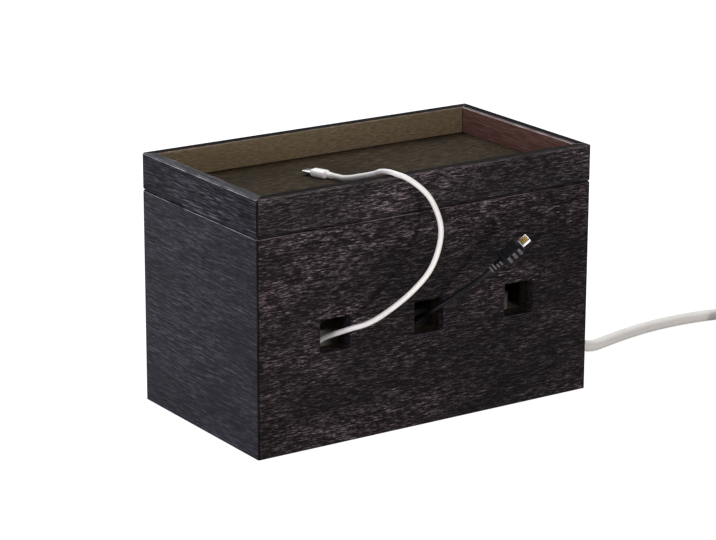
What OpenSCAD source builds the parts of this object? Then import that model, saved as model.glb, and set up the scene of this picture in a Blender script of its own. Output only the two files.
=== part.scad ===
// Desk box that hides a power strip and its spare cable under a lift-off tray lid.
// Millimetres. Origin: centre of the footprint, on the surface the box stands on. +Z is up, the front faces -Y.

/* [Box] */
// Outside width, left to right
box_w = 255; // [250:1:290]
// Outside depth, front to back
box_d = 140; // [136:1:170]
// Overall height with the lid on
box_h = 167; // [162:1:185]
// Thickness of the walls and of the lid's rails
wall_t = 8; // [7:0.5:9]
// Thickness of the liner boards inside the walls
liner_t = 6; // [4:0.5:7]
// How far the liner stands above the seam, to locate the lid
lip_h = 3; // [2:0.5:3]
// Gap between the liner's lip and the lid's rails
lip_clear = 0.4; // [0.3:0.1:0.8]
// Thickness of the bottom board
floor_t = 6; // [5:0.5:7]
// How far the bottom board sits above the walls' lower edges
floor_recess = 3; // [2:0.5:4]
// Depth of the wall groove that holds the bottom board
floor_groove = 3; // [2:0.5:4]

/* [Lid] */
// Height of the lid's rails, from the seam to the rim
lid_h = 24.5; // [23:0.5:30]
// Thickness of the tray board
tray_t = 3; // [2.5:0.5:5]
// Gap between the liner's lip and the tray board above it
tray_gap = 0.5; // [0.4:0.1:1]
// Depth of the rail groove that holds the tray board
tray_groove = 4; // [3:0.5:5]

/* [Edges] */
// Chamfer on both sides of the seam
seam_ease = 1; // [0.5:0.1:1.5]
// Chamfer on the rim and on the upright corners
edge_ease = 0.8; // [0.4:0.1:1.5]

/* [Cable openings] */
// Side of each square cable hole in the front
hole_size = 22; // [18:1:26]
// Distance between the centres of the cable holes
hole_pitch = 71; // [60:1:76]
// Height of the cable holes' centres
hole_z = 72; // [68:1:80]
// Width of the mains outlet in the right wall, front to back
outlet_w = 60; // [50:1:70]
// Height of the mains outlet above the bottom board
outlet_h = 36; // [32:1:45]

/* [Power strip] */
// Width of the strip, front to back
strip_w = 52; // [48:1:56]
// Height of the strip's lower housing
base_h = 20; // [20:0.5:22]
// Height of the strip's upper housing
cover_h = 21; // [20.5:0.5:24]
// Wall thickness of the strip's housing
strip_wall = 2; // [1.6:0.1:2.4]
// Distance between neighbouring sockets
socket_pitch = 44; // [43:0.5:45]
// Length of the strip from its last socket to its right end
end_margin = 22; // [21:0.5:24]
// Length of the strip from its first socket to its left end, where the switch sits
switch_zone = 58; // [52:1:58]
// Gap between the strip and the front liner
strip_front_gap = 14; // [12:1:16]
// Gap between the strip and the right liner
strip_end_gap = 9.5; // [8:0.5:12]
// Least gap between the strip and the left liner, which settles how many sockets fit
strip_left_gap = 5; // [4:0.5:8]
// Bore of a socket well
well_d = 38.4; // [38:0.1:39]
// Depth of a socket well
well_depth = 17.5; // [16.5:0.5:18]
// Distance between the centres of a socket's two pins
pin_pitch = 19; // [19:0.1:19.4]
// Diameter of a plug pin
pin_d = 4; // [3.8:0.1:4.8]
// Length of a plug pin
pin_len = 19; // [18:0.5:19]
// Width of the switch's opening, left to right
switch_l = 22; // [21:0.5:23]
// Angle that the rocker leans to each side
rocker_tilt = 8; // [6:1:9]

/* [Chargers] */
// Width of a charger across its pins' line
charger_w = 24; // [22:0.5:25]
// Length of a charger along its pins' line
charger_l = 34; // [32:0.5:34]
// Height of a charger's case
charger_h = 30; // [29:1:34]
// Thickness of a charger's case
charger_wall = 1.6; // [1.2:0.1:2]

/* [Leads] */
// Diameter of the white charging lead
white_d = 3.4; // [3:0.1:3.6]
// Diameter of the black lead
black_d = 3.2; // [3:0.1:3.4]
// Diameter of the mains lead
mains_d = 8; // [7:0.5:8.5]
// Thickness of the bands that tie the coils
tie_t = 0.8; // [0.6:0.1:1]
// Length of the mains lead's strain relief outside the strip
gland_len = 28; // [24:1:30]
// Diameter of the mains plug's body
plug_d = 36; // [34:1:38]
// Length of the mains plug's body
plug_len = 42; // [36:1:44]

/* [Hidden] */

$fn = 64;
eps = 0.05;
stain = "#2b2522";
stain_inside = "#3a322c";
white_plastic = "#e9e8e4";
black_plastic = "#1b1c1f";
brass = "#c9a455";
steel = "#b9bcc0";

// Box and lid, worked out from the sizes above
seam_z = box_h - lid_h;
lip_z = seam_z + lip_h;
floor_top = floor_recess + floor_t;
tray_z = lip_z + tray_gap;
tray_top = tray_z + tray_t;
inner_w = box_w - 2 * (wall_t + liner_t);
inner_d = box_d - 2 * (wall_t + liner_t);
wall_in_w = box_w - 2 * wall_t;
wall_in_d = box_d - 2 * wall_t;

// Power strip
sockets = 1 + floor((inner_w - strip_end_gap - strip_left_gap - end_margin - switch_zone) / socket_pitch);
corner_r = 6;
strip_right = inner_w / 2 - strip_end_gap;
strip_len = end_margin + (sockets - 1) * socket_pitch + switch_zone;
strip_x = strip_right - strip_len / 2;
strip_y = -inner_d / 2 + strip_front_gap + strip_w / 2;
strip_z = floor_top;
cover_z = strip_z + base_h;
strip_top = cover_z + cover_h;
well_z = strip_top - well_depth;
cup_t = 1.5;
pin_end_z = well_z - pin_len;
screw_d = 2.6;
screw_head_d = 5.2;
screw_head_h = 2.2;
screw_sink = 0.6;
screw_bite = 12;
boss_root = 0.5;
boss_d = 8;
boss_y = strip_w / 2 - strip_wall - boss_d / 2 + boss_root;
boss_spots = [for (i = [0, sockets - 2]) for (s = [-1, 1]) [socket_x(i) + socket_pitch / 2, strip_y + s * boss_y]];
bus_t = 1.2;
bus_w = 6;
bus_z = strip_z + strip_wall;
sleeve_wall = 1.1;
clip_off = well_d / 2 - 1.4;
clip_w = 5;
clip_clear = 0.3;

// Rocker switch
switch_w = 14;
switch_margin = 3.5;
switch_x = socket_x(0) - switch_zone + switch_margin + switch_l / 2;
bezel_t = 1.2;
bezel_rim = 1.5;
frame_wall = 1;
frame_depth = 10;
rocker_gap = 0.4;
rocker_z = strip_top - 4;
rocker_pin_d = 2.5;
rocker_half = switch_l / 2 - frame_wall - 2 * rocker_gap;
rocker_drop = 4;
rocker_mid = 3.6;
rocker_rise = rocker_mid + rocker_half * tan(rocker_tilt);

// Charger and the plug that sits in it
port_w = 5.7;
port_l = 13.2;
port_wall = 0.3;
port_depth = 12;
charger_top = well_z + charger_h;
shell_w = 4.5;
shell_l = 12;
shell_in = 11;
usb_w = 8;
usb_l = 15.6;
usb_h = 20;
relief_len = 9.5;
usb_end_z = charger_top + usb_h + relief_len;

// Strain relief of the mains lead
gland_z = strip_z + 13;
gland_neck_d = 12;
gland_flange_d = 15.5;
gland_flange_t = 1.2;
gland_end_d = 10.5;

// Route of each lead, point by point
mains_run_pts = [
    [132, -16, 22], [138, -16, 22], [146, -15.9, 21], [153.7, -15.4, 17.9], [160.6, -14.7, 13.2],
    [167.4, -13.7, 8.4], [175, -12.2, 5.2], [183.5, -10.2, 4], [191, -8.3, 4], [199, -6.2, 4], [208, -4, 4],
    [217, -2, 4],
    [231, 0.6, 4], [245, 2.2, 4], [259, 2.8, 4], [273, 2.3, 4], [287, 0.8, 4], [300, -1.7, 4], [316, -6, 4]
];
mains_coil_at = [320, -62, 0];
mains_coil_r = 44;
mains_tail_pts = [
    [282, -40, 20], [288.6, -31.7, 20], [296.8, -24.9, 20.2], [304.5, -20.6, 21], [313, -18.4, 22.5],
    [321.8, -18.2, 24.6], [330.3, -20.2, 27.5], [338.1, -24.2, 30.1], [344.8, -29.9, 32.1],
    [349.8, -37.1, 33.4], [353, -45.3, 34], [354, -54, 34]
];
plug_at = [354, -54, 34];
plug_turn = -90;
plug_relief_len = 22;
white_coil_at = [-62, 33, 9];
white_coil_r = 17.4;
white_drop_pts = [
    [-50, -16, 92], [-50, -16, 98], [-51, -13, 104], [-54, -7, 107.5], [-59, 1, 106.5], [-65, 8, 101],
    [-70, 11.5, 91], [-73, 12, 79], [-74.5, 12, 66], [-75, 12, 53], [-75, 12, 41], [-74.5, 12.2, 31],
    [-72.5, 13, 24], [-68, 13.8, 20.9]
];
white_rise_pts = [
    [-81.1, 21, 10.7], [-80.9, 16, 13.5], [-80.6, 12.6, 20], [-80.2, 12, 30], [-79.8, 12.1, 40],
    [-79.6, 12.1, 46.5], [-79.4, 11.6, 49.4], [-79.2, 10, 52], [-79, 7.8, 53.5], [-78.8, 5, 54],
    [-78.5, -1, 53.2], [-78.1, -8, 52.2], [-77.6, -15, 51.8], [-77, -23, 51.8], [-76, -32, 52.6],
    [-75.5, -40, 55], [-74.5, -48, 59.5], [-73, -54, 63.8], [-71.5, -58, 66.8], [-69, -64, 70.2],
    [-66.4, -70, 73.2]
];
white_loop_pts = [
    [-66.4, -70, 73.2], [-63.8, -76, 76.2], [-54.4, -83, 80.3], [-43.6, -89, 88], [-29.3, -93, 98.8],
    [-17.8, -95, 110.4], [-11.1, -95, 122.9], [-8.3, -94, 136], [-9.4, -91, 146.8], [-12.8, -86, 156.8],
    [-18.6, -80, 164], [-23.4, -75.6, 167.8], [-25.2, -71.3, 168.5]
];
white_end_pts = [
    [-25.2, -71.3, 168.5], [-27, -67, 169.2], [-27.8, -61, 168.8], [-27.4, -54, 167], [-26.3, -47, 164.2],
    [-25.3, -37.8, 161.1], [-24.6, -27.5, 157.9], [-24.2, -19, 155.2], [-24, -12, 153.3],
    [-23.6, -6, 152], [-23.9, -0.3, 151.6], [-25.6, 4.4, 151.6]
];
connector_at = [-25.6, 4.4, 151.6];
connector_turn = 109.9;
black_coil_at = [48, 33, 9];
black_coil_r = 17.4;
black_drop_pts = [
    [82, -16, 92], [82, -16, 98], [82, -12, 104], [81.5, -4, 107.5], [81, 6, 107], [80.5, 16, 102],
    [80, 26, 93], [79.5, 34, 82], [79, 40, 70], [78.5, 44, 57], [77.5, 46.5, 45], [75.5, 48.5, 34],
    [71, 50.2, 26], [64, 51, 21.4], [57, 51.3, 20.2]
];
black_rise_pts = [
    [29, 21, 10.6], [28.8, 16, 13.2], [28.4, 12.6, 20], [27.8, 11.9, 30], [27.2, 12, 40], [26.6, 12, 46.5],
    [26.2, 11.5, 49.4], [25.6, 9.9, 52], [24.8, 7.7, 53.4], [23.8, 5, 53.9], [21.6, -1, 53.1],
    [19, -8, 52.1], [16.5, -15, 51.7], [11.8, -26, 51.8],
    [7, -36, 53], [4, -44, 57.4], [2, -51, 63.2], [1.2, -57, 67.6], [0.9, -64, 71.6], [1.4, -70, 75],
    [3.6, -75, 78.8], [6.8, -79, 82.2], [14.3, -85, 89.5], [21, -89.4, 95.2], [26.4, -92, 99.8],
    [31.3, -94, 104.2]
];
micro_pts = [[31.3, -94, 104.2], [37.6, -96.6, 110], [48.6, -101.2, 120], [53.6, -103.2, 124.4]];
micro_roll = 30;

function socket_x(i) = strip_right - end_margin - (sockets - 1 - i) * socket_pitch;

// ---- Joinery ----

// Plan of a board along X on the -Y side, its ends mitred and its outer corners eased
module mitre_plan(length, out, t, ease) {
    half = length / 2;
    polygon([
        [-half + ease, out], [half - ease, out], [half - ease / 2, out + ease / 2],
        [half - t, out + t], [-half + t, out + t], [-half + ease / 2, out + ease / 2]
    ]);
}

// A mitred board with the given section, a list of [y, z] points
module board(length, out, t, section, ease = 0) {
    intersection() {
        rotate([90, 0, 90]) translate([0, 0, -length / 2]) linear_extrude(length) polygon(section);
        linear_extrude(box_h + 1) mitre_plan(length, out, t, ease);
    }
}

function wall_section(out) = let (inside = out + wall_t) [
    [out, 0], [out, seam_z - seam_ease], [out + seam_ease, seam_z], [inside, seam_z],
    [inside, floor_top], [inside - floor_groove, floor_top], [inside - floor_groove, floor_recess],
    [inside, floor_recess], [inside, 0]
];

function liner_section(out) = [
    [out, floor_top], [out, seam_z], [out + lip_clear, seam_z], [out + lip_clear, lip_z],
    [out + liner_t, lip_z], [out + liner_t, floor_top]
];

function rail_section(out) = let (inside = out + wall_t) [
    [out + seam_ease, seam_z], [out, seam_z + seam_ease], [out, box_h - edge_ease],
    [out + edge_ease, box_h], [inside - edge_ease, box_h], [inside, box_h - edge_ease],
    [inside, tray_top], [inside - tray_groove, tray_top], [inside - tray_groove, tray_z],
    [inside, tray_z], [inside, seam_z]
];

module long_wall() {
    board(box_w, -box_d / 2, wall_t, wall_section(-box_d / 2), edge_ease);
}

module short_wall() {
    board(box_d, -box_w / 2, wall_t, wall_section(-box_w / 2), edge_ease);
}

module long_liner() {
    board(wall_in_w, -wall_in_d / 2, liner_t, liner_section(-wall_in_d / 2));
}

module short_liner() {
    board(wall_in_d, -wall_in_w / 2, liner_t, liner_section(-wall_in_w / 2));
}

module long_rail() {
    board(box_w, -box_d / 2, wall_t, rail_section(-box_d / 2), edge_ease);
}

module short_rail() {
    board(box_d, -box_w / 2, wall_t, rail_section(-box_w / 2), edge_ease);
}

// The three cable holes, cut through the front wall and its liner
module cable_holes() {
    for (i = [-1, 0, 1])
        translate([i * hole_pitch - hole_size / 2, -box_d / 2 - 1, hole_z - hole_size / 2])
            cube([hole_size, wall_t + liner_t + 2, hole_size]);
}

// The mains outlet, cut through the right wall and its liner
module outlet() {
    translate([inner_w / 2 - 1, -outlet_w / 2, floor_top])
        cube([wall_t + liner_t + 2, outlet_w, outlet_h]);
}

// ---- Box ----

module front_panel() color(stain) difference() {
    long_wall();
    cable_holes();
}

module back_panel() color(stain) rotate(180) long_wall();

module left_panel() color(stain) rotate(-90) short_wall();

module right_panel() color(stain) difference() {
    rotate(90) short_wall();
    outlet();
}

module bottom_panel() color(stain_inside)
    translate([-wall_in_w / 2 - floor_groove, -wall_in_d / 2 - floor_groove, floor_recess])
        cube([wall_in_w + 2 * floor_groove, wall_in_d + 2 * floor_groove, floor_t]);

module front_liner() color(stain_inside) difference() {
    long_liner();
    cable_holes();
}

module back_liner() color(stain_inside) rotate(180) long_liner();

module left_liner() color(stain_inside) rotate(-90) short_liner();

module right_liner() color(stain_inside) difference() {
    rotate(90) short_liner();
    outlet();
}

// ---- Lid ----

module lid_front_rail() color(stain) long_rail();

module lid_back_rail() color(stain) rotate(180) long_rail();

module lid_left_rail() color(stain) rotate(-90) short_rail();

module lid_right_rail() color(stain) rotate(90) short_rail();

module tray_floor() color(stain_inside)
    translate([-wall_in_w / 2 - tray_groove, -wall_in_d / 2 - tray_groove, tray_z])
        cube([wall_in_w + 2 * tray_groove, wall_in_d + 2 * tray_groove, tray_t]);

// ---- Power strip ----

// Slab with rounded upright corners, centred on the origin in plan
module slab(x, y, h, r) {
    translate([-x / 2 + r, -y / 2, 0]) cube([x - 2 * r, y, h]);
    translate([-x / 2, -y / 2 + r, 0]) cube([x, y - 2 * r, h]);
    for (sx = [-1, 1], sy = [-1, 1])
        translate([sx * (x / 2 - r), sy * (y / 2 - r), 0]) cylinder(h = h, r = r);
}

module at_bosses() {
    for (p = boss_spots) translate([p.x, p.y, 0]) children();
}

module at_sockets() {
    for (i = [0 : sockets - 1]) translate([socket_x(i), strip_y, 0]) children();
}

module at_socket_pins() {
    for (s = [-1, 1]) translate([0, s * pin_pitch / 2, 0]) children();
}

module strip_base() color(white_plastic) difference() {
    union() {
        translate([strip_x, strip_y, strip_z]) difference() {
            slab(strip_len, strip_w, base_h, corner_r);
            translate([0, 0, strip_wall])
                slab(strip_len - 2 * strip_wall, strip_w - 2 * strip_wall, base_h, corner_r - strip_wall);
        }
        at_bosses() translate([0, 0, strip_z]) cylinder(h = base_h, d = boss_d);
    }
    at_bosses() {
        translate([0, 0, strip_z - 1]) cylinder(h = base_h + 2, d = screw_d + 0.4);
        translate([0, 0, strip_z - 1]) cylinder(h = 1 + screw_sink + screw_head_h, d = screw_head_d + 0.4);
    }
    translate([strip_right - strip_wall - 1, strip_y, gland_z])
        rotate([0, 90, 0]) cylinder(h = strip_wall + 2, d = gland_neck_d + 0.2);
}

module strip_cover() color(white_plastic) difference() {
    union() {
        translate([strip_x, strip_y, cover_z]) difference() {
            slab(strip_len, strip_w, cover_h, corner_r);
            translate([0, 0, -1])
                slab(strip_len - 2 * strip_wall, strip_w - 2 * strip_wall, cover_h - strip_wall + 1,
                     corner_r - strip_wall);
        }
        at_sockets() translate([0, 0, well_z - cup_t])
            cylinder(h = well_depth + cup_t - eps, d = well_d + 2 * cup_t);
        at_bosses() translate([0, 0, cover_z]) cylinder(h = cover_h - eps, d = boss_d);
    }
    at_sockets() {
        translate([0, 0, well_z]) cylinder(h = well_depth + 1, d = well_d);
        at_socket_pins() translate([0, 0, well_z - cup_t - 1]) cylinder(h = cup_t + 2, d = pin_d + 1.2);
        for (s = [-1, 1])
            translate([s * clip_off - bus_t / 2 - clip_clear, -clip_w / 2 - clip_clear, well_z - cup_t - 1])
                cube([bus_t + 2 * clip_clear, clip_w + 2 * clip_clear, cup_t + 2]);
    }
    at_bosses() translate([0, 0, cover_z - 1]) cylinder(h = 1 + screw_bite + 2, d = screw_d);
    translate([switch_x - switch_l / 2, strip_y - switch_w / 2, strip_top - strip_wall - 1])
        cube([switch_l, switch_w, strip_wall + 2]);
}

// A brass bar under one row of pins, with a sleeve round each pin
module pin_bus(side) color(brass) {
    bar_end = well_d / 4;
    translate([socket_x(0) - bar_end, strip_y + side * pin_pitch / 2 - bus_w / 2, bus_z])
        cube([(sockets - 1) * socket_pitch + 2 * bar_end, bus_w, bus_t]);
    for (i = [0 : sockets - 1])
        translate([socket_x(i), strip_y + side * pin_pitch / 2, bus_z + bus_t]) difference() {
            cylinder(h = well_z - cup_t - 2 - bus_z - bus_t, d = pin_d + 0.2 + 2 * sleeve_wall);
            translate([0, 0, -1]) cylinder(h = well_depth + base_h, d = pin_d + 0.2);
        }
}

module live_bus() pin_bus(1);

module neutral_bus() pin_bus(-1);

// The earth bar and the pair of spring clips that it sends up into each well
module earth_bus() color(brass) {
    translate([socket_x(0) - clip_off, strip_y - bus_w / 4, bus_z])
        cube([(sockets - 1) * socket_pitch + 2 * clip_off, bus_w / 2, bus_t]);
    at_sockets() for (s = [-1, 1])
        translate([s * clip_off - bus_t / 2, -clip_w / 2, bus_z]) cube([bus_t, clip_w, strip_top - 3 - bus_z]);
}

module rocker_frame() color(black_plastic) translate([switch_x, strip_y, 0]) difference() {
    union() {
        translate([-switch_l / 2, -switch_w / 2, strip_top - frame_depth])
            cube([switch_l, switch_w, frame_depth]);
        translate([-switch_l / 2 - bezel_rim, -switch_w / 2 - bezel_rim, strip_top])
            cube([switch_l + 2 * bezel_rim, switch_w + 2 * bezel_rim, bezel_t]);
    }
    translate([-switch_l / 2 + frame_wall, -switch_w / 2 + frame_wall, strip_top - frame_depth - 1])
        cube([switch_l - 2 * frame_wall, switch_w - 2 * frame_wall, frame_depth + bezel_t + 2]);
    translate([0, switch_w / 2 + 1, rocker_z]) rotate([90, 0, 0]) cylinder(h = switch_w + 2, d = rocker_pin_d);
}

module rocker_switch() color("#b3261e") {
    depth = switch_w - 2 * frame_wall - 2 * rocker_gap;
    translate([switch_x, strip_y, rocker_z]) rotate([0, -rocker_tilt, 0]) rotate([90, 0, 0])
        translate([0, 0, -depth / 2]) difference() {
            linear_extrude(depth) polygon([
                [-rocker_half, -rocker_drop], [rocker_half, -rocker_drop], [rocker_half, rocker_rise],
                [0, rocker_mid], [-rocker_half, rocker_rise]
            ]);
            translate([0, 0, -1]) cylinder(h = depth + 2, d = rocker_pin_d + 0.16);
        }
}

module rocker_pin() color(steel) translate([switch_x, strip_y + switch_w / 2, rocker_z])
    rotate([90, 0, 0]) cylinder(h = switch_w, d = rocker_pin_d);

module strip_screws() color(steel) at_bosses() {
    translate([0, 0, strip_z + screw_sink]) cylinder(h = screw_head_h, d = screw_head_d);
    translate([0, 0, strip_z + screw_sink + screw_head_h])
        cylinder(h = base_h + screw_bite - screw_sink - screw_head_h, d = screw_d);
}

// ---- Chargers, each at the centre of its socket ----

module charger_case(x) color(white_plastic) translate([x, strip_y, well_z]) difference() {
    slab(charger_w, charger_l, charger_h, 8);
    translate([0, 0, charger_wall])
        slab(charger_w - 2 * charger_wall, charger_l - 2 * charger_wall, charger_h - 2 * charger_wall,
             8 - charger_wall);
    translate([-port_w / 2, -port_l / 2, charger_h - charger_wall - 1]) cube([port_w, port_l, charger_wall + 2]);
    at_socket_pins() translate([0, 0, -1]) cylinder(h = charger_wall + 2, d = pin_d);
}

module charger_pins(x) color(brass) translate([x, strip_y, pin_end_z])
    at_socket_pins() cylinder(h = pin_len + charger_wall + 4, d = pin_d);

module charger_board(x) color("#2f6b3c") translate([x, strip_y, well_z + charger_wall]) {
    translate([charger_w / 4 - 1, -charger_l / 2 + 4, 0])
        cube([1.2, charger_l - 8, charger_h - 2 * charger_wall - 1]);
    translate([charger_w / 4 - 10, -6, 1]) cube([9, 12, 14]);
}

module charger_port(x) color(steel) translate([x, strip_y, charger_top - port_depth]) difference() {
    translate([-port_w / 2, -port_l / 2, 0]) cube([port_w, port_l, port_depth]);
    translate([-port_w / 2 + port_wall, -port_l / 2 + port_wall, 0.5])
        cube([port_w - 2 * port_wall, port_l - 2 * port_wall, port_depth]);
}

module left_charger_case() charger_case(socket_x(0));

module left_charger_pins() charger_pins(socket_x(0));

module left_charger_board() charger_board(socket_x(0));

module left_charger_port() charger_port(socket_x(0));

module right_charger_case() charger_case(socket_x(sockets - 1));

module right_charger_pins() charger_pins(socket_x(sockets - 1));

module right_charger_board() charger_board(socket_x(sockets - 1));

module right_charger_port() charger_port(socket_x(sockets - 1));

// ---- Leads ----

function unit(v) = v / norm(v);

function route_tangents(p) = let (last = len(p) - 1)
    [for (i = [0 : last]) unit(p[min(i + 1, last)] - p[max(i - 1, 0)])];

// One reference normal per point, carried along the route so that the tube doesn't twist
function route_normals(t) = [
    for (i = 0, n = unit(cross(t[0], [0.31, 0.17, 0.93]));
         i < len(t);
         i = i + 1, n = i < len(t) ? unit(n - (n * t[i]) * t[i]) : n)
        n
];

// Tube of diameter d along the points p, with the given number of sides
module tube(p, d, sides = 8) {
    t = route_tangents(p);
    n = route_normals(t);
    rings = len(p);
    points = [for (i = [0 : rings - 1], k = [0 : sides - 1])
        let (a = 360 * k / sides) p[i] + d / 2 * (cos(a) * n[i] + sin(a) * cross(t[i], n[i]))];
    skin = [for (i = [0 : rings - 2], k = [0 : sides - 1])
        let (j = (k + 1) % sides) [i * sides + k, (i + 1) * sides + k, (i + 1) * sides + j, i * sides + j]];
    caps = [[for (k = [0 : sides - 1]) k], [for (k = [sides - 1 : -1 : 0]) (rings - 1) * sides + k]];
    polyhedron(points, concat(skin, caps), convexity = 6);
}

// Outer shape of a coil: columns by rows of turns round a mean radius
module coil(at, radius, d, columns, rows) {
    translate(at) rotate_extrude() translate([radius - columns * d / 2, 0]) square([columns * d, rows * d]);
}

// Band that holds a coil together: over its top and down both sides
module coil_tie(at, radius, d, columns, rows, from, width) {
    inner = radius - columns * d / 2;
    translate(at) rotate([0, 0, from]) rotate_extrude(angle = 2 * asin(width / 2 / radius)) difference() {
        translate([inner - tie_t, 0]) square([columns * d + 2 * tie_t, rows * d + tie_t]);
        translate([inner, -1]) square([columns * d, rows * d + 1]);
    }
}

// Moulded plug body and tapered relief on top of a charger
module usb_plug(x, lead_d) translate([x, strip_y, charger_top]) {
    slab(usb_w, usb_l, usb_h, 2.5);
    translate([0, 0, usb_h]) cylinder(h = relief_len, d1 = usb_w - 1.5, d2 = lead_d + 1);
}

// The plug's metal shell, inside the charger's port
module usb_shell(x) color(steel) translate([x, strip_y, charger_top - shell_in])
    translate([-shell_w / 2, -shell_l / 2, 0]) cube([shell_w, shell_l, shell_in]);

module white_usb_plug() color(white_plastic) usb_plug(socket_x(0), white_d);

module white_usb_shell() usb_shell(socket_x(0));

module white_lead_drop() color(white_plastic) tube(white_drop_pts, white_d);

module white_lead_coil() color(white_plastic) coil(white_coil_at, white_coil_r, white_d, 2, 3);

module white_lead_tie() color(black_plastic) coil_tie(white_coil_at, white_coil_r, white_d, 2, 3, 20, 7);

module white_lead_rise() color(white_plastic) tube(white_rise_pts, white_d);

module white_lead_loop() color(white_plastic) tube(white_loop_pts, white_d);

module white_lead_end() color(white_plastic) tube(white_end_pts, white_d);

module phone_connector() color(white_plastic) translate(connector_at) rotate(connector_turn) {
    rotate([0, 90, 0]) cylinder(h = 3, d1 = white_d + 0.6, d2 = 4.6);
    translate([3 + 5.75, 0, -2.5]) slab(11.5, 7.7, 5, 1.8);
}

module phone_connector_tip() color(steel) translate(connector_at) rotate(connector_turn)
    translate([3 + 11.5, -3.3, -0.75]) cube([6.8, 6.6, 1.5]);

module black_usb_plug() color(black_plastic) usb_plug(socket_x(sockets - 1), black_d);

module black_usb_shell() usb_shell(socket_x(sockets - 1));

module black_lead_drop() color(black_plastic) tube(black_drop_pts, black_d);

module black_lead_coil() color(black_plastic) coil(black_coil_at, black_coil_r, black_d, 2, 3);

module black_lead_tie() color(black_plastic) coil_tie(black_coil_at, black_coil_r, black_d, 2, 3, -10, 7);

module black_lead_rise() color(black_plastic) tube(black_rise_pts, black_d);

// Turns children, which point along +X, to run from a to b
module along(a, b) {
    v = b - a;
    translate(a) rotate([0, -asin(v.z / norm(v)), atan2(v.y, v.x)]) children();
}

micro_relief = norm(micro_pts[1] - micro_pts[0]);
micro_body = norm(micro_pts[2] - micro_pts[1]);

module micro_connector() color(black_plastic) along(micro_pts[0], micro_pts[3]) {
    rotate([0, 90, 0]) cylinder(h = micro_relief, d1 = black_d + 0.6, d2 = 5.6);
    rotate([micro_roll, 0, 0]) translate([micro_relief + micro_body / 2, 0, -3.5]) slab(micro_body, 10.5, 7, 2);
}

module micro_connector_tip() color(steel) along(micro_pts[0], micro_pts[3]) rotate([micro_roll, 0, 0])
    translate([micro_relief + micro_body, -3.4, -0.9]) cube([6.5, 6.8, 1.8]);

module mains_gland() color(white_plastic) translate([strip_right, strip_y, gland_z]) rotate([0, 90, 0]) {
    translate([0, 0, -strip_wall - gland_flange_t]) cylinder(h = gland_flange_t, d = gland_flange_d);
    translate([0, 0, -strip_wall]) cylinder(h = strip_wall, d = gland_neck_d);
    cylinder(h = 3, d = gland_neck_d + 2);
    translate([0, 0, 3]) cylinder(h = gland_len - 3, d1 = gland_neck_d + 1, d2 = gland_end_d);
}

module mains_lead_run() color(white_plastic) tube(mains_run_pts, mains_d, 12);

module mains_lead_coil() color(white_plastic) coil(mains_coil_at, mains_coil_r, mains_d, 2, 2);

module mains_lead_tie() color(black_plastic) coil_tie(mains_coil_at, mains_coil_r, mains_d, 2, 2, 255, 16);

module mains_lead_tail() color(white_plastic) tube(mains_tail_pts, mains_d, 12);

// The plug lies on the coil, its tapered relief towards the lead
module mains_plug() color(white_plastic) translate(plug_at) rotate(plug_turn) rotate([0, 90, 0]) {
    cylinder(h = plug_relief_len, d1 = mains_d + 2, d2 = plug_d * 0.45);
    translate([0, 0, plug_relief_len]) cylinder(h = plug_len * 0.4, d1 = plug_d * 0.62, d2 = plug_d);
    translate([0, 0, plug_relief_len + plug_len * 0.4]) cylinder(h = plug_len * 0.6, d = plug_d);
}

module mains_plug_pins() color(steel) translate(plug_at) rotate(plug_turn)
    for (s = [-1, 1]) translate([plug_relief_len + plug_len, s * pin_pitch / 2, 0])
        rotate([0, 90, 0]) cylinder(h = pin_len, d = 4.8);

front_panel();
back_panel();
left_panel();
right_panel();
bottom_panel();
front_liner();
back_liner();
left_liner();
right_liner();
lid_front_rail();
lid_back_rail();
lid_left_rail();
lid_right_rail();
tray_floor();
strip_base();
strip_cover();
live_bus();
neutral_bus();
earth_bus();
rocker_frame();
rocker_switch();
rocker_pin();
strip_screws();
left_charger_case();
left_charger_pins();
left_charger_board();
left_charger_port();
right_charger_case();
right_charger_pins();
right_charger_board();
right_charger_port();
white_usb_plug();
white_usb_shell();
white_lead_drop();
white_lead_coil();
white_lead_tie();
white_lead_rise();
white_lead_loop();
white_lead_end();
phone_connector();
phone_connector_tip();
black_usb_plug();
black_usb_shell();
black_lead_drop();
black_lead_coil();
black_lead_tie();
black_lead_rise();
micro_connector();
micro_connector_tip();
mains_gland();
mains_lead_run();
mains_lead_coil();
mains_lead_tie();
mains_lead_tail();
mains_plug();
mains_plug_pins();
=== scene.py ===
"""Dresses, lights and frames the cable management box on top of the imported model.

Lengths are millimetres, except in finished meshes and where a name ends in _m: those are metres. The row
frame has its origin under the middle of the box, +Z up and the front with the cable holes facing -Y.
"""

from __future__ import annotations

import logging
import math
import sys
from dataclasses import dataclass, replace
from enum import Enum
from functools import cache, partial
from typing import ClassVar, Iterable, Sequence

import bmesh
import bpy
from mathutils import Matrix, Vector

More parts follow.
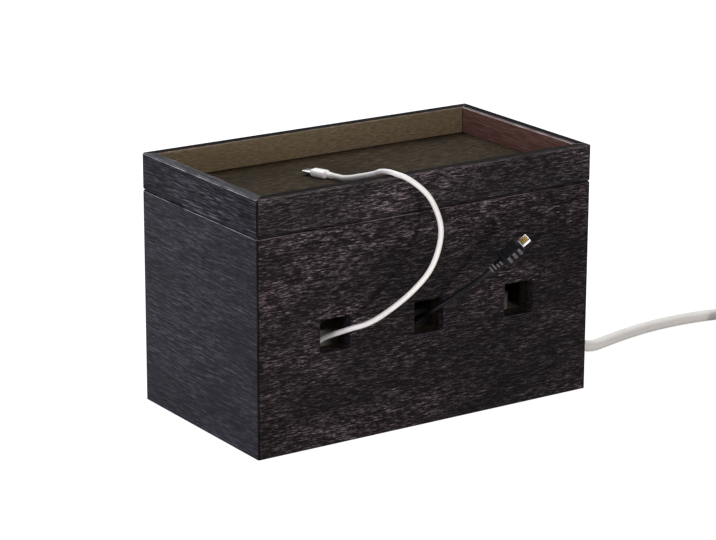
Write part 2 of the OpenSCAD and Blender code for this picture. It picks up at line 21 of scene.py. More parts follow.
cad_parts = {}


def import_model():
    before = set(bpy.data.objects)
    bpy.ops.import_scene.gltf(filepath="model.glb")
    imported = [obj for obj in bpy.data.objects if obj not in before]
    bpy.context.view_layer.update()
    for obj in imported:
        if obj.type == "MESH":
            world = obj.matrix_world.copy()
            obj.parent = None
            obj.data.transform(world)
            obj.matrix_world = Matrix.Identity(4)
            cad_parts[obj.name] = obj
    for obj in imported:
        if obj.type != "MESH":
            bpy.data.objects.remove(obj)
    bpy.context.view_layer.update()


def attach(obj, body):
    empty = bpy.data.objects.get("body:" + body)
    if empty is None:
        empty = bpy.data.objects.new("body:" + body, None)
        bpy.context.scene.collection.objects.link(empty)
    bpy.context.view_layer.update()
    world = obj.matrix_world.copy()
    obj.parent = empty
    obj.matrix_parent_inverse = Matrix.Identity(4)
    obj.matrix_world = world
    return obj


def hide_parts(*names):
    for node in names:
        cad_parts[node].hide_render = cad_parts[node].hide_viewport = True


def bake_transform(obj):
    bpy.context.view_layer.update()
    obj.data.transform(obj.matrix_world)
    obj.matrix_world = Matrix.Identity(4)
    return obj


log = logging.getLogger("cable_box")

MM = 0.001
IMAGE_WIDTH = 716

# What meshes tell their materials: where a board's grain runs, how its faces have worn and where highlight
# and shade are painted on them, which look inwards
GRAIN = "grain_mm"
WEAR_AND_LIGHT = "arris"
INNER = "inner_face"

# A Mix node's inputs for its two colours and its output for their mix
A, B, MIXED = 6, 7, 2

Point = tuple[float, float, float]
Span = tuple[float, float]
Tree = bpy.types.NodeTree
Socket = bpy.types.NodeSocket
Mesh = bpy.types.Mesh
Form = bmesh.types.BMesh
Piece = bpy.types.Object


# ---- Colour and shader helpers ----


def linear(hex_colour: str) -> tuple[float, ...]:
    """Turns an sRGB hex value into linear RGBA.

    Args:
        hex_colour: the colour, such as "#2b2522".

    Returns:
        The linear colour with an alpha of 1.
    """
    parts = [int(hex_colour[i : i + 2], 16) / 255 for i in (1, 3, 5)]
    return *(p / 12.92 if p <= 0.04045 else ((p + 0.055) / 1.055) ** 2.4 for p in parts), 1.0


def add_node(
    tree: Tree, kind: str, inputs: dict | Sequence = (), out: int | str = 0, **settings: object
) -> Socket | None:
    """Adds a shader node with its settings, constants and links.

    Args:
        tree: the node tree that gets it.
        kind: the node's type, without its "ShaderNode" prefix.
        inputs: a constant or an output socket for each input, in order or by the input's name or number.
        out: which of the node's outputs is wanted.
        **settings: the node's own properties.

    Returns:
        The wanted output socket, or None where the node has none.
    """
    node = tree.nodes.new("ShaderNode" + kind)
    for name, value in settings.items():
        setattr(node, name, value)
    for key, value in inputs.items() if isinstance(inputs, dict) else enumerate(inputs):
        if isinstance(value, Socket):
            tree.links.new(value, node.inputs[key])
        else:
            node.inputs[key].default_value = value
    return node.outputs[out] if node.outputs else None


def clear_tree(owner: bpy.types.Material | bpy.types.World) -> Tree:
    """Gives a material or a world an empty node tree.

    Args:
        owner: the material or the world.

    Returns:
        Its tree.
    """
    owner.use_nodes = True
    owner.node_tree.nodes.clear()
    return owner.node_tree


# ---- Finishes ----


@dataclass(frozen=True)
class Finish:
    """What a piece is made of and how its surface was made."""

    name: str

    @cache
    def material(self) -> bpy.types.Material:
        """Builds the material on its first use.

        Returns:
            The material, the same one each time.
        """
        material = bpy.data.materials.new(self.name)
        tree = clear_tree(material)
        add_node(tree, "OutputMaterial", {"Surface": self.surface(tree)})
        return material

    def surface(self, tree: Tree) -> Socket:
        """Builds the shader in the material's tree and gives its socket."""
        raise NotImplementedError

    @staticmethod
    def scaled(tree: Tree, size: Sequence[float], where: Socket | None = None) -> Socket:
        """Stretches coordinates so that one unit is a real size.

        Args:
            tree: the material's node tree.
            size: the real size along each axis.
            where: coordinates in millimetres, or None for the piece's own.

        Returns:
            The coordinates' socket.
        """
        if where is None:
            where, size = add_node(tree, "TexCoord", out="Object"), [s * MM for s in size]
        return add_node(tree, "VectorMath", [where, tuple(1 / s for s in size)], operation="MULTIPLY")

    def blotches(
        self, tree: Tree, size: Sequence[float], octaves: int, where: Socket | None = None
    ) -> Socket:
        """Lays soft blotches of a real size, with so many finer layers, as a value from 0 to 1."""
        place = self.scaled(tree, size, where)
        return add_node(tree, "TexNoise", {"Vector": place, "Scale": 1.0, "Detail": octaves})


@dataclass(frozen=True)
class StainedBamboo(Finish):
    """Strip bamboo, planed, stained nearly black and sealed with a satin lacquer.

    The stain sinks into the soft wood and leaves the hard fibre ends paler, so the eye sees short pale dashes
    along the board between darker ones, and slow cool and warm patches. Arris facets that face up are painted
    a little paler, partly rubbed wear and partly a painted highlight. Corners and seams hold a dark line of
    pooled stain, and facets that face down and the tops of most lid rails are darkened as painted shade. The
    faces inside the tray are painted lighter and browner, a painted warm bounce light. Sizes of marks are
    their length along the grain, width and depth. A span holds the two levels between which a mark grows.
    """

    pores: str
    ground: str
    dash: str
    pale: str
    cool: str
    rubbed: str
    bounce_colour: str
    dash_long: float
    dash_wide: float
    contrast: float
    wander: float
    roughness: float
    gloss: float
    inner_bounce: float = 0.58
    drift: Point = (12, 5, 5)
    fine_dash: Point = (0.4, 0.6, 0.6)
    fine_share: float = 0.45
    bundle: Point = (45, 3.4, 8)
    bundle_share: float = 0.12
    patch: Point = (90, 50, 50)
    patch_span: Span = (0.42, 0.6)
    patch_calm: float = 0.75
    inner_bounce_span: Span = (0.35, 0.68)
    inner_bounce_scale: Span = (0.62, 1.3)
    rub: Point = (14, 6, 6)
    rub_span: Span = (0.3, 0.7)
    matt_span: Span = (0.35, 0.65)
    tone_at: tuple[float, ...] = (0.34, 0.5, 0.61, 0.74)
    pooling_and_shade: float = 0.92
    pore_roughness: float = 0.25
    relief: float = 0.15

    def grain(self, tree: Tree, board: Socket, cool: Socket) -> Socket:
        """Draws the fibres.

        Args:
            tree: the material's node tree.
            board: the board's own coordinates, in millimetres.
            cool: how thick the stain lies, 0 to 1.

        Returns:
            How pale each fibre is, about 0.5.
        """
        add, streaks = partial(add_node, tree), partial(self.blotches, tree)
        # The fibres don't run quite straight
        push = add("Math", [streaks(self.drift, 1, board), self.wander], operation="MULTIPLY")
        fibres = add("VectorMath", [board, add("CombineXYZ", {"Y": push})], operation="ADD")
        dash = (self.dash_long, self.dash_wide, self.dash_wide)
        coarse = streaks(dash, 1, fibres)
        fine = streaks([size * share for size, share in zip(dash, self.fine_dash)], 0, fibres)
        bundles = streaks(self.bundle, 1, fibres)
        # Where the stain lies thick the fibres hardly show
        contrast = add("MapRange", [cool, 0, 1, self.contrast, self.contrast * self.patch_calm])
        grain = add("Math", [fine, self.fine_share, coarse], operation="MULTIPLY_ADD")
        grain = add("Math", [bundles, self.bundle_share, grain], operation="MULTIPLY_ADD")
        middle = (1 + self.fine_share + self.bundle_share) / 2
        grain = add("Math", [grain, middle], operation="SUBTRACT")
        return add("Math", [grain, contrast, 0.5], operation="MULTIPLY_ADD")

    def surface(self, tree: Tree) -> Socket:
        """Builds the shader.

        Args:
            tree: the material's node tree.

        Returns:
            The shader's socket.
        """
        add, streaks = partial(add_node, tree), partial(self.blotches, tree)
        board = add("Attribute", out="Vector", attribute_name=GRAIN)
        patches = streaks(self.patch, 2, board)
        cool = add("MapRange", [patches, *self.patch_span], interpolation_type="SMOOTHSTEP")
        grain = self.grain(tree, board, cool)
        colour = add("ValToRGB", [grain])
        tones = colour.node.color_ramp.elements
        for k, (place, tone) in enumerate(zip(self.tone_at, (self.pores, self.ground, self.dash, self.pale))):
            stop = tones.new(place) if k else tones[0]
            stop.position = place
            stop.color = linear(tone)
        tones.remove(tones[-1])
        tint = add("Mix", {0: cool, A: (1, 1, 1, 1), B: linear(self.cool)}, MIXED, data_type="RGBA")
        colour = add("Mix", {0: 1.0, A: colour, B: tint}, MIXED, data_type="RGBA", blend_type="MULTIPLY")
        inner, arris = (add("Attribute", out="Fac", attribute_name=name) for name in (INNER, WEAR_AND_LIGHT))
        # The painted warm bounce light on the tray's inner faces spares the pores
        inner_bounce_range = (self.inner_bounce * share for share in self.inner_bounce_scale)
        thin = add("MapRange", [grain, *self.inner_bounce_span, *inner_bounce_range])
        thin = add("Math", [inner, thin], operation="MULTIPLY", use_clamp=True)
        # Arris facets that face up take the rubbed colour in patches: partly rubbed wear, partly a painted
        # highlight
        rub_highlight_patches = add("MapRange", [streaks(self.rub, 2, board), *self.rub_span])
        worn = add("Math", [arris, rub_highlight_patches], operation="MULTIPLY", use_clamp=True)
        # Pooled stain on corners and seams, and painted shade on facets that face down and on most rail tops
        pooled = add("Math", [arris, -self.pooling_and_shade], operation="MULTIPLY", use_clamp=True)
        for share, tone in ((thin, self.bounce_colour), (worn, self.rubbed), (pooled, self.pores)):
            colour = add("Mix", {0: share, A: colour, B: linear(tone)}, MIXED, data_type="RGBA")
        # The lacquer bridges the hard fibres and leaves the pores, the pooled stain and the painted shade
        # matt
        matt = self.roughness + self.pore_roughness
        rough = add("MapRange", [grain, *self.matt_span, matt, self.roughness])
        rough = add("Math", [rough, pooled], operation="MAXIMUM")
        bump = add("Bump", {"Height": grain, "Strength": 0.5, "Distance": self.relief * MM})
        return add("BsdfPrincipled", {
            "Base Color": colour, "Roughness": rough, "Normal": bump, "IOR": 1.46,
            "Specular IOR Level": self.gloss})


@dataclass(frozen=True)
class SkinFinish(Finish):
    """A piece of one colour, with slow faint marks and a fine skin that softens what it mirrors.

    Real skins are finer than a view of the whole box shows, so each is drawn as coarse as it needs to
    show. A mark's share holds where in the noise marks start, where they are full and how much they then
    colour. The spread holds how much smoother and how much rougher than the roughness the skin makes it.
    """

    colour: str
    mark: str
    roughness: float
    sheen: float = 0.5
    rubbed: str = ""
    skin: Point = (0.7, 0.7, 0.7)
    relief: float = 0.02
    strength: float = 0.3
    spread: Span = (0.06, 0.08)
    mark_size: float = 22
    mark_share: Point = (0.35, 0.75, 0.35)
    base: ClassVar[dict[str, float]] = {"IOR": 1.5}

    def surface(self, tree: Tree) -> Socket:
        """Builds the shader.

        Args:
            tree: the material's node tree.

        Returns:
            The shader's socket.
        """
        add = partial(add_node, tree)
        start, full, most = self.mark_share
        marks = self.blotches(tree, (self.mark_size,) * 3, 3)
        share = add("MapRange", [marks, start, full, 0, most])
        colour = add("Mix", {0: share, A: linear(self.colour), B: linear(self.mark)}, MIXED, data_type="RGBA")
        # Marked ridges take the rubbed colour: partly rubbed wear, partly a painted highlight
        if self.rubbed:
            ridge = add("Attribute", out="Fac", attribute_name=WEAR_AND_LIGHT)
            colour = add("Mix", {0: ridge, A: colour, B: linear(self.rubbed)}, MIXED, data_type="RGBA")
        skin = self.blotches(tree, self.skin, 2)
        smoother, rougher = self.spread
        rough = add("MapRange", [skin, 0, 1, self.roughness - smoother, self.roughness + rougher])
        bump = add("Bump", {"Height": skin, "Strength": self.strength, "Distance": self.relief * MM})
        return add("BsdfPrincipled", {
            "Base Color": colour, "Roughness": rough, "Normal": bump, "Specular IOR Level": self.sheen,
            **self.base})


@dataclass(frozen=True)
class MouldedPlastic(SkinFinish):
    """Injection-moulded plastic with a spark-eroded skin: an even colour with a fine pebbled sheen.

    Ridges that fingers hold are painted paler, partly rubbed wear and partly a painted highlight.
    """


@dataclass(frozen=True)
class LeadSheath(SkinFinish):
    """Extruded PVC or TPE sheath: satin, with an orange-peel skin and faint handling marks along it."""

    skin: Point = (0.9, 0.9, 0.9)
    relief: float = 0.03
    strength: float = 0.25
    spread: Span = (0.05, 0.07)
    mark_size: float = 16
    mark_share: Point = (0.48, 0.8, 0.4)
    base: ClassVar[dict[str, float]] = {"IOR": 1.52}


@dataclass(frozen=True)
class PressedMetal(SkinFinish):
    """Rolled and pressed or turned metal: bright, with tool lines that blur its reflections one way."""

    skin: Point = (9, 0.35, 0.35)
    relief: float = 0.01
    strength: float = 0.15
    spread: Span = (0.07, 0.1)
    mark_size: float = 5
    mark_share: Point = (0.45, 0.8, 0.5)
    base: ClassVar[dict[str, float]] = {"Metallic": 1.0}


@dataclass(frozen=True)
class HookAndLoop(Finish):
    """Woven nylon hook-and-loop tape: dull black, and fuzzy with its loops."""

    colour: str
    fuzz: str
    loop: float = 0.7
    fuzz_span: Span = (0.1, 0.6)
    relief: float = 0.25

    def surface(self, tree: Tree) -> Socket:
        """Builds the shader.

        Args:
            tree: the material's node tree.

        Returns:
            The shader's socket.
        """
        add = partial(add_node, tree)
        loops = add("TexVoronoi", {"Vector": self.scaled(tree, (self.loop,) * 3), "Scale": 1.0}, "Distance")
        share = add("MapRange", [loops, *self.fuzz_span])
        colour = add("Mix", {0: share, A: linear(self.fuzz), B: linear(self.colour)}, MIXED, data_type="RGBA")
        bump = add("Bump", {"Height": loops, "Strength": 0.7, "Distance": self.relief * MM}, invert=True)
        return add("BsdfPrincipled", {
            "Base Color": colour, "Roughness": 0.9, "Normal": bump, "Sheen Weight": 0.4, "IOR": 1.5})


@dataclass(frozen=True)
class CircuitBoard(Finish):
    """Glass-fibre board under green solder mask: glossy, with paler copper tracks under it."""

    mask: str
    track: str
    pitch: float = 2.4
    relief: float = 0.05

    def surface(self, tree: Tree) -> Socket:
        """Builds the shader.

        Args:
            tree: the material's node tree.

        Returns:
            The shader's socket.
        """
        add = partial(add_node, tree)
        tracks = add("TexBrick", {
            "Vector": self.scaled(tree, (self.pitch,) * 3), "Scale": 1.0, "Mortar Size": 0.12,
            "Brick Width": 1.6, "Row Height": 0.8}, "Fac")
        colour = add("Mix", {0: tracks, A: linear(self.mask), B: linear(self.track)}, MIXED, data_type="RGBA")
        bump = add("Bump", {"Height": tracks, "Strength": 0.4, "Distance": self.relief * MM})
        return add("BsdfPrincipled", {"Base Color": colour, "Roughness": 0.3, "Normal": bump, "IOR": 1.55})


# Front and back are warm and closely dashed; their rails in the lid are painted a little paler, a painted
# light from above
BAMBOO_LONG = StainedBamboo(
    "bamboo stained, long boards", pores="#020101", ground="#161114", dash="#453d41", pale="#867d82",
    cool="#bfc6c2", rubbed="#625a5d", bounce_colour="#a39272", dash_long=5.4, dash_wide=0.66, contrast=0.63,
    wander=1.0, roughness=0.5, gloss=0.06)
BAMBOO_LONG_RAIL = replace(
    BAMBOO_LONG, name="bamboo stained, long rails", pores="#070505", ground="#241f21", dash="#5a5156",
    pale="#9c9398", cool="#bcc3bf", rubbed="#6d6467")
# The ends are painted paler and cooler than front and back, a painted cool reflection, and are quieter; their
# rails are streaked
BAMBOO_SHORT = StainedBamboo(
    "bamboo stained, short boards", pores="#0b0b0e", ground="#2a292f", dash="#4d4c55", pale="#81808a",
    cool="#d8dade", rubbed="#cacacf", bounce_colour="#775347", dash_long=10.0, dash_wide=0.6, contrast=0.4, wander=0.5,
    roughness=0.45, gloss=0.07)
BAMBOO_SHORT_RAIL = replace(
    BAMBOO_SHORT, name="bamboo stained, short rails", pores="#060609", ground="#222126", dash="#4b4a52",
    pale="#86858e", dash_long=13.0, dash_wide=0.62, contrast=0.68)
# Liners, bottom and tray floor were stained and never lacquered: brown and matt
BAMBOO_INSIDE = StainedBamboo(
    "bamboo stained, unsealed inside", pores="#120f0b", ground="#272118", dash="#43392b", pale="#665a48",
    cool="#dcd8d0", rubbed="#5c523f", bounce_colour="#272118", dash_long=9.0, dash_wide=1.0, contrast=0.46, wander=0.8,
    roughness=0.65, gloss=0.06, inner_bounce=0.0)
# The strip's housing is satin and a little yellow, the chargers are glossy and neutral
STRIP_ABS = MouldedPlastic("ABS moulded, strip housing", "#e4e2dc", "#d6d2c8", 0.42)
CHARGER_ABS = MouldedPlastic(
    "ABS moulded, gloss charger case", "#e8e8e5", "#dcdbd6", 0.24, skin=(1.2, 1.2, 1.2), relief=0.008)
# The plugs are satin, the black one with grey ribs where it is held, partly rubbed wear and partly a painted
# highlight, and the rocker shines
PLUG_WHITE = MouldedPlastic(
    "TPE moulded, white plug body", "#e4e4e3", "#d6d5d1", 0.38, skin=(0.8, 0.8, 0.8), relief=0.015)
PLUG_BLACK = MouldedPlastic(
    "ABS moulded, black plug body", "#07070c", "#101016", 0.36, sheen=0.05, rubbed="#525256",
    skin=(0.6, 0.6, 0.6))
ROCKER_RED = MouldedPlastic(
    "polycarbonate moulded, red rocker", "#b0201a", "#8e1814", 0.2, skin=(1.5, 1.5, 1.5), relief=0.005)
# Smooth rubbery leads: the white one soft, the black one with a narrow sheen, the thick mains lead duller
SHEATH_WHITE = LeadSheath("TPE extruded, white charging lead", "#d2d2d0", "#c2c1bd", 0.42, sheen=0.35)
SHEATH_BLACK = LeadSheath("TPE extruded, black charging lead", "#08080a", "#141416", 0.3, sheen=0.1)
SHEATH_MAINS = LeadSheath("PVC extruded, white mains lead", "#dedddb", "#cbc8c0", 0.45)
# Grey steel, warmer and brighter nickel, and yellow brass with brown stains
STEEL = PressedMetal("steel pressed, nickel flash", "#c9cacc", "#9b9a97", 0.24)
NICKEL = PressedMetal("brass turned, nickel plated", "#d4d0c8", "#a9a297", 0.18)
BRASS = PressedMetal("brass stamped", "#c8a45a", "#8c6a35", 0.3)
# Dull black with grey fuzz, and glossy green with paler lines
TAPE = HookAndLoop("nylon hook-and-loop tape", "#0e0e10", "#2c2c30")
BOARD_GREEN = CircuitBoard("glass-fibre board, green solder mask", "#1c4a2a", "#4f8a52")


# ---- Mesh helpers ----


def add_object(name: str, data: bpy.types.ID) -> Piece:
    """Adds an object to the scene.

    Args:
        name: the object's name.
        data: its mesh, camera or lamp.

    Returns:
        The new object.
    """
    thing = bpy.data.objects.new(name, data)
    bpy.context.scene.collection.objects.link(thing)
    return thing


def mesh_from(name: str, form: Form, smooth_to: float = 40.0) -> Mesh:
    """Turns a bmesh into a mesh that is shaded smooth up to an angle.

    Args:
        name: the mesh's name.
        form: the bmesh, in metres, which is freed.
        smooth_to: edges sharper than this many degrees stay crisp.

    Returns:
        The mesh.
    """
    bmesh.ops.recalc_face_normals(form, faces=form.faces[:])
    mesh = bpy.data.meshes.new(name)
    form.to_mesh(mesh)
    form.free()
    mesh.shade_smooth()
    mesh.set_sharp_from_angle(angle=math.radians(smooth_to))
    return mesh


def put(name: str, shape: Mesh | Form, finish: Finish, body: str | None, slot: str, *nodes: str) -> Piece:
    """Adds a piece to the scene, parents it to its body and hides the CAD nodes that it stands for.

    Args:
        name: the piece's name.
        shape: its mesh, or a bmesh, which is freed; in metres in the row frame.
        finish: what it is made of.
        body: the body that it rides on, or None for a piece that is shared between two bodies.
        slot: a material slot's name; not used.
        *nodes: the CAD nodes that it stands for.

    Returns:
        The new object.
    """
    mesh = shape if isinstance(shape, Mesh) else mesh_from(name, shape)
    piece = add_object(name, mesh)
    mesh.materials.clear()
    mesh.materials.append(finish.material())
    if body:
        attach(piece, body)
    if nodes:
        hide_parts(*nodes)
    log.info("%s rides on %s, %d faces", name, body, len(mesh.polygons))
    return piece


def dress(finish: Finish, *nodes: str) -> None:
    """Gives CAD nodes that keep their own shape a finish.

    Args:
        finish: what they are made of.
        *nodes: the nodes' names.
    """
    for node in nodes:
        for slot in bpy.data.objects[node].material_slots:
            slot.material = finish.material()
        log.info("%s keeps its CAD shape", node)


def eased_mesh(node: str, name: str, ease: float, rounds: int = 3) -> Mesh:
    """Copies a CAD node's mesh and rounds its edges as a worker or a mould would.

    Args:
        node: the CAD node.
        name: the new mesh's name.
        ease: how wide the rounding is.
        rounds: faces across each rounding.

    Returns:
        The new mesh.
    """
    weld, flat_within, edge_from = 0.002 * MM, math.radians(1), math.radians(25)
    form = bmesh.new()
    form.from_mesh(bpy.data.objects[node].data)
    bmesh.ops.remove_doubles(form, verts=form.verts[:], dist=weld)
    bmesh.ops.dissolve_limit(form, angle_limit=flat_within, verts=form.verts[:], edges=form.edges[:])
    rough = bpy.data.meshes.new(name + "_rough")
    form.to_mesh(rough)
    form.free()
    rough.shade_smooth()
    holder = add_object(name + "_holder", rough)
    cut = holder.modifiers.new("ease", "BEVEL")
    cut.width = ease * MM
    cut.segments = rounds
    cut.limit_method = "ANGLE"
    cut.angle_limit = edge_from
    cut.harden_normals = True
    graph = bpy.context.evaluated_depsgraph_get()
    mesh = bpy.data.meshes.new_from_object(holder.evaluated_get(graph))
    mesh.name = name
    bpy.data.objects.remove(holder)
    bpy.data.meshes.remove(rough)
    return mesh


def mark_corners(mesh: Mesh, name: str, marks: Iterable[float]) -> None:
    """Writes each face's mark on its corners.

    Args:
        mesh: the mesh.
        name: the attribute's name.
        marks: a mark for each face.
    """
    values = [float(mark) for face, mark in zip(mesh.polygons, marks) for _ in face.loop_indices]
    mesh.attributes.new(name, "FLOAT", "CORNER").data.foreach_set("value", values)


def smooth_line(points: Sequence[Point], step: float, per_span: int = 8) -> list[Vector]:
    """Draws one smooth curve through points and spaces it evenly.

    Args:
        points: the points.
        step: about how far apart the new points are.
        per_span: how many places are worked out between two points.

    Returns:
        The points of the curve, its first and last on the given ones.
    """
    # Spacing the knots by the roots of their distances keeps the curve from looping at sharp turns
    knots = [Vector(p) for p in points]
    knots = [2 * knots[0] - knots[1], *knots, 2 * knots[-1] - knots[-2]]
    fine: list[Vector] = []
    for a, b, c, d in zip(knots, knots[1:], knots[2:], knots[3:]):
        t1 = (b - a).length ** 0.5
        t2 = t1 + (c - b).length ** 0.5
        t3 = t2 + (d - c).length ** 0.5
        for k in range(per_span):
            t = t1 + (t2 - t1) * k / per_span
            ab = a.lerp(b, t / t1)
            bc = b.lerp(c, (t - t1) / (t2 - t1))
            cd = c.lerp(d, (t - t2) / (t3 - t2))
            fine.append(ab.lerp(bc, t / t2).lerp(bc.lerp(cd, (t - t1) / (t3 - t1)), (t - t1) / (t2 - t1)))
    fine.append(knots[-2])
    run = [0.0]
    for a, b in zip(fine, fine[1:]):
        run.append(run[-1] + (b - a).length)
    count = max(2, round(run[-1] / step))
    line, at = [], 0
    for k in range(count + 1):
        want = run[-1] * k / count
        while at < len(run) - 2 and run[at + 1] < want:
            at += 1
        line.append(fine[at].lerp(fine[at + 1], (want - run[at]) / max(run[at + 1] - run[at], 1e-9)))
    return line


def sweep(line: Sequence[Vector], radius: float, sides: int = 16) -> Form:
    """Sweeps a circle along a line without twisting it.

    Args:
        line: the centre line.
        radius: the circle's radius.
        sides: points round the circle.

    Returns:
        The closed tube, in metres.
    """
    form = bmesh.new()
    last = len(line) - 1
    # Any way will do that no lead sets off along
    normal = Vector((0.31, 0.17, 0.93))
    rings = []
    for k, centre in enumerate(line):
        ahead = (line[min(k + 1, last)] - line[max(k - 1, 0)]).normalized()
        normal = (normal - ahead * normal.dot(ahead)).normalized()
        side = ahead.cross(normal)
        rings.append([
            form.verts.new((centre + radius * (math.cos(a) * normal + math.sin(a) * side)) * MM)
            for a in (2 * math.pi * s / sides for s in range(sides))
        ])
    skin_rings(form, rings)
    return form


def skin_rings(form: Form, rings: list[list[bmesh.types.BMVert]], closed: bool = False) -> None:
    """Joins rings of equal count with faces and closes both ends, or joins the last ring to the first.

    Args:
        form: the bmesh that holds the rings.
        rings: the rings in order.
        closed: whether the last ring joins the first.
    """
    count = len(rings[0])
    for low, high in zip(rings, rings[1:] + rings[:1] if closed else rings[1:]):
        for k in range(count):
            j = (k + 1) % count
            form.faces.new((low[k], low[j], high[j], high[k]))
    if not closed:
        form.faces.new(rings[0][::-1])
        form.faces.new(rings[-1])


def join_forms(whole: Form, *others: Form) -> Form:
    """Puts several bmeshes into the first one.

    Args:
        whole: the first bmesh.
        *others: the others, which are freed.

    Returns:
        The first bmesh, with everything in it.
    """
    for form in others:
        part = bpy.data.meshes.new("part")
        form.to_mesh(part)
        form.free()
        whole.from_mesh(part)
        bpy.data.meshes.remove(part)
    return whole


@dataclass(frozen=True)
class Station:
    """One cross-section of a moulded body: how far along it stands, its size and its corners' radius."""

    along: float
    wide: float
    high: float
    corner: float

    def outline(self, per_corner: int) -> list[tuple[float, float]]:
        """Gives the section's outline.

        Args:
            per_corner: points on each rounded corner.

        Returns:
            Points across and up.
        """
        least_flat = 1e-4
        corner = min(self.corner, self.wide / 2 - least_flat, self.high / 2 - least_flat)
        points = []
        for quarter, (sx, sy) in enumerate(((1, 1), (-1, 1), (-1, -1), (1, -1))):
            for k in range(per_corner):
                a = math.pi / 2 * (quarter + k / (per_corner - 1))
                points.append((sx * (self.wide / 2 - corner) + corner * math.cos(a),
                               sy * (self.high / 2 - corner) + corner * math.sin(a)))
        return points


def turned(*profile: tuple[float, float]) -> list[Station]:
    """Gives the round sections of a profile, from places along it and diameters."""
    return [Station(along, size, size, size / 2) for along, size in profile]


def eased_stations(
    start: float, end: float, wide: float, high: float, corner: float, ease: float
) -> list[Station]:
    """Sections of a straight moulded block with rounded ends.

    Args:
        start: where it starts along its length.
        end: where it ends.
        wide: its width.
        high: its height.
        corner: its long edges' radius.
        ease: its end edges' radius.

    Returns:
        The sections in order.
    """
    least_corner = 0.05
    turns = [math.radians(a) for a in (0, 22, 45, 68, 90)]
    first = [(start + ease * (1 - math.sin(a)), ease * (1 - math.cos(a))) for a in reversed(turns)]
    last = [(end - ease * (1 - math.sin(a)), ease * (1 - math.cos(a))) for a in turns]
    return [
        Station(along, wide - 2 * less, high - 2 * less, max(corner - less, least_corner))
        for along, less in first + last
    ]


def ribbed_relief(
    start: float, end: float, small: float, large: float, ribs: int, depth: float
) -> list[Station]:
    """Sections of a strain relief that widens from the lead to the body, with grooves round it.

    Args:
        start: where it starts, at the lead.
        end: where it meets the body.
        small: its diameter at the lead.
        large: its diameter at the body.
        ribs: how many ribs it has.
        depth: how deep the grooves are.

    Returns:
        The sections in order.
    """
    profile = []
    pitch = (end - start) / ribs
    for rib in range(ribs):
        # Each rib takes the first half of its pitch and the groove nearly all of the rest
        for share, cut in ((0.0, 0), (0.5, 0), (0.58, 1), (0.92, 1)):
            along = start + (rib + share) * pitch
            size = small + (large - small) * (along - start) / (end - start) - 2 * depth * cut
            profile.append((along, size))
    return turned(*profile, (end, large))


@dataclass(frozen=True)
class Bench:
    """Where a body is built: its start, the way it points, which way is up and its roll in degrees."""

    start: Point
    ahead: Point
    up: Point = (0.0, 0.0, 1.0)
    roll: float = 0.0

    def place(self, along: float, across: float, up: float) -> Vector:
        """Turns a body's own coordinates into the row frame.

        Args:
            along: how far ahead of the start.
            across: how far to the side.
            up: how far up.

        Returns:
            The point, in metres.
        """
        ahead = Vector(self.ahead).normalized()
        side = Vector(self.up).cross(ahead).normalized()
        rise = ahead.cross(side)
        turn = Matrix.Rotation(math.radians(self.roll), 3, ahead)
        return (Vector(self.start) + along * ahead + turn @ (across * side + up * rise)) * MM

    def raised(self, up: float, across: float = 0.0) -> Bench:
        """Gives the same bench moved up and across."""
        return replace(self, start=tuple(self.place(0, across, up) / MM))

    def ridge_highlight_marks(self, mesh: Mesh, ridges: Sequence[tuple[float, float]], grip_from: float) -> list[bool]:
        """Marks the tops of the ridges that a finger rubs, which are painted paler: partly rubbed wear,
        partly a painted highlight.

        Args:
            mesh: the body's mesh.
            ridges: where each ridge starts and ends along the body.
            grip_from: ridges beyond this far along are rubbed only on the body's narrow sides.

        Returns:
            A mark for each face.
        """
        top_to, side_from = 0.5, 0.6
        start = self.place(0, 0, 0)
        ahead, side = ((self.place(*way) - start) / MM for way in ((1, 0, 0), (0, 1, 0)))
        marks = []
        for face in mesh.polygons:
            along = (face.center - start).dot(ahead) / MM
            on_ridge = any(low < along < high for low, high in ridges)
            on_top = abs(face.normal.dot(ahead)) < top_to
            reached = along < grip_from or abs(face.normal.dot(side)) > side_from
            marks.append(on_ridge and on_top and reached)
        return marks

    def loft(self, stations: Sequence[Station], per_corner: int = 6) -> Form:
        """Skins a row of cross-sections.

        Args:
            stations: the sections in order.
            per_corner: points on each rounded corner.

        Returns:
            The closed body, in metres.
        """
        form = bmesh.new()
        skin_rings(form, [[form.verts.new(self.place(s.along, x, y)) for x, y in s.outline(per_corner)]
                          for s in stations])
        return form


# ---- Camera, floor and light ----


@dataclass(frozen=True)
class Softbox:
    """A square lamp that faces the box: where it hangs, its side, its watts and its sRGB colour."""

    name: str
    place: Point
    size: float
    power: float
    colour: str

    def hang(self, aim: Vector) -> None:
        """Hangs the lamp.

        Args:
            aim: what it faces.
        """
        data = bpy.data.lights.new(self.name, "AREA")
        data.shape = "SQUARE"
        data.size = self.size * MM
        data.energy = self.power
        data.color = linear(self.colour)[:3]
        stand = Vector(self.place)
        turn = (aim - stand).to_track_quat("-Z", "Y").to_matrix().to_4x4()
        add_object(self.name, data).matrix_world = Matrix.Translation(stand * MM) @ turn


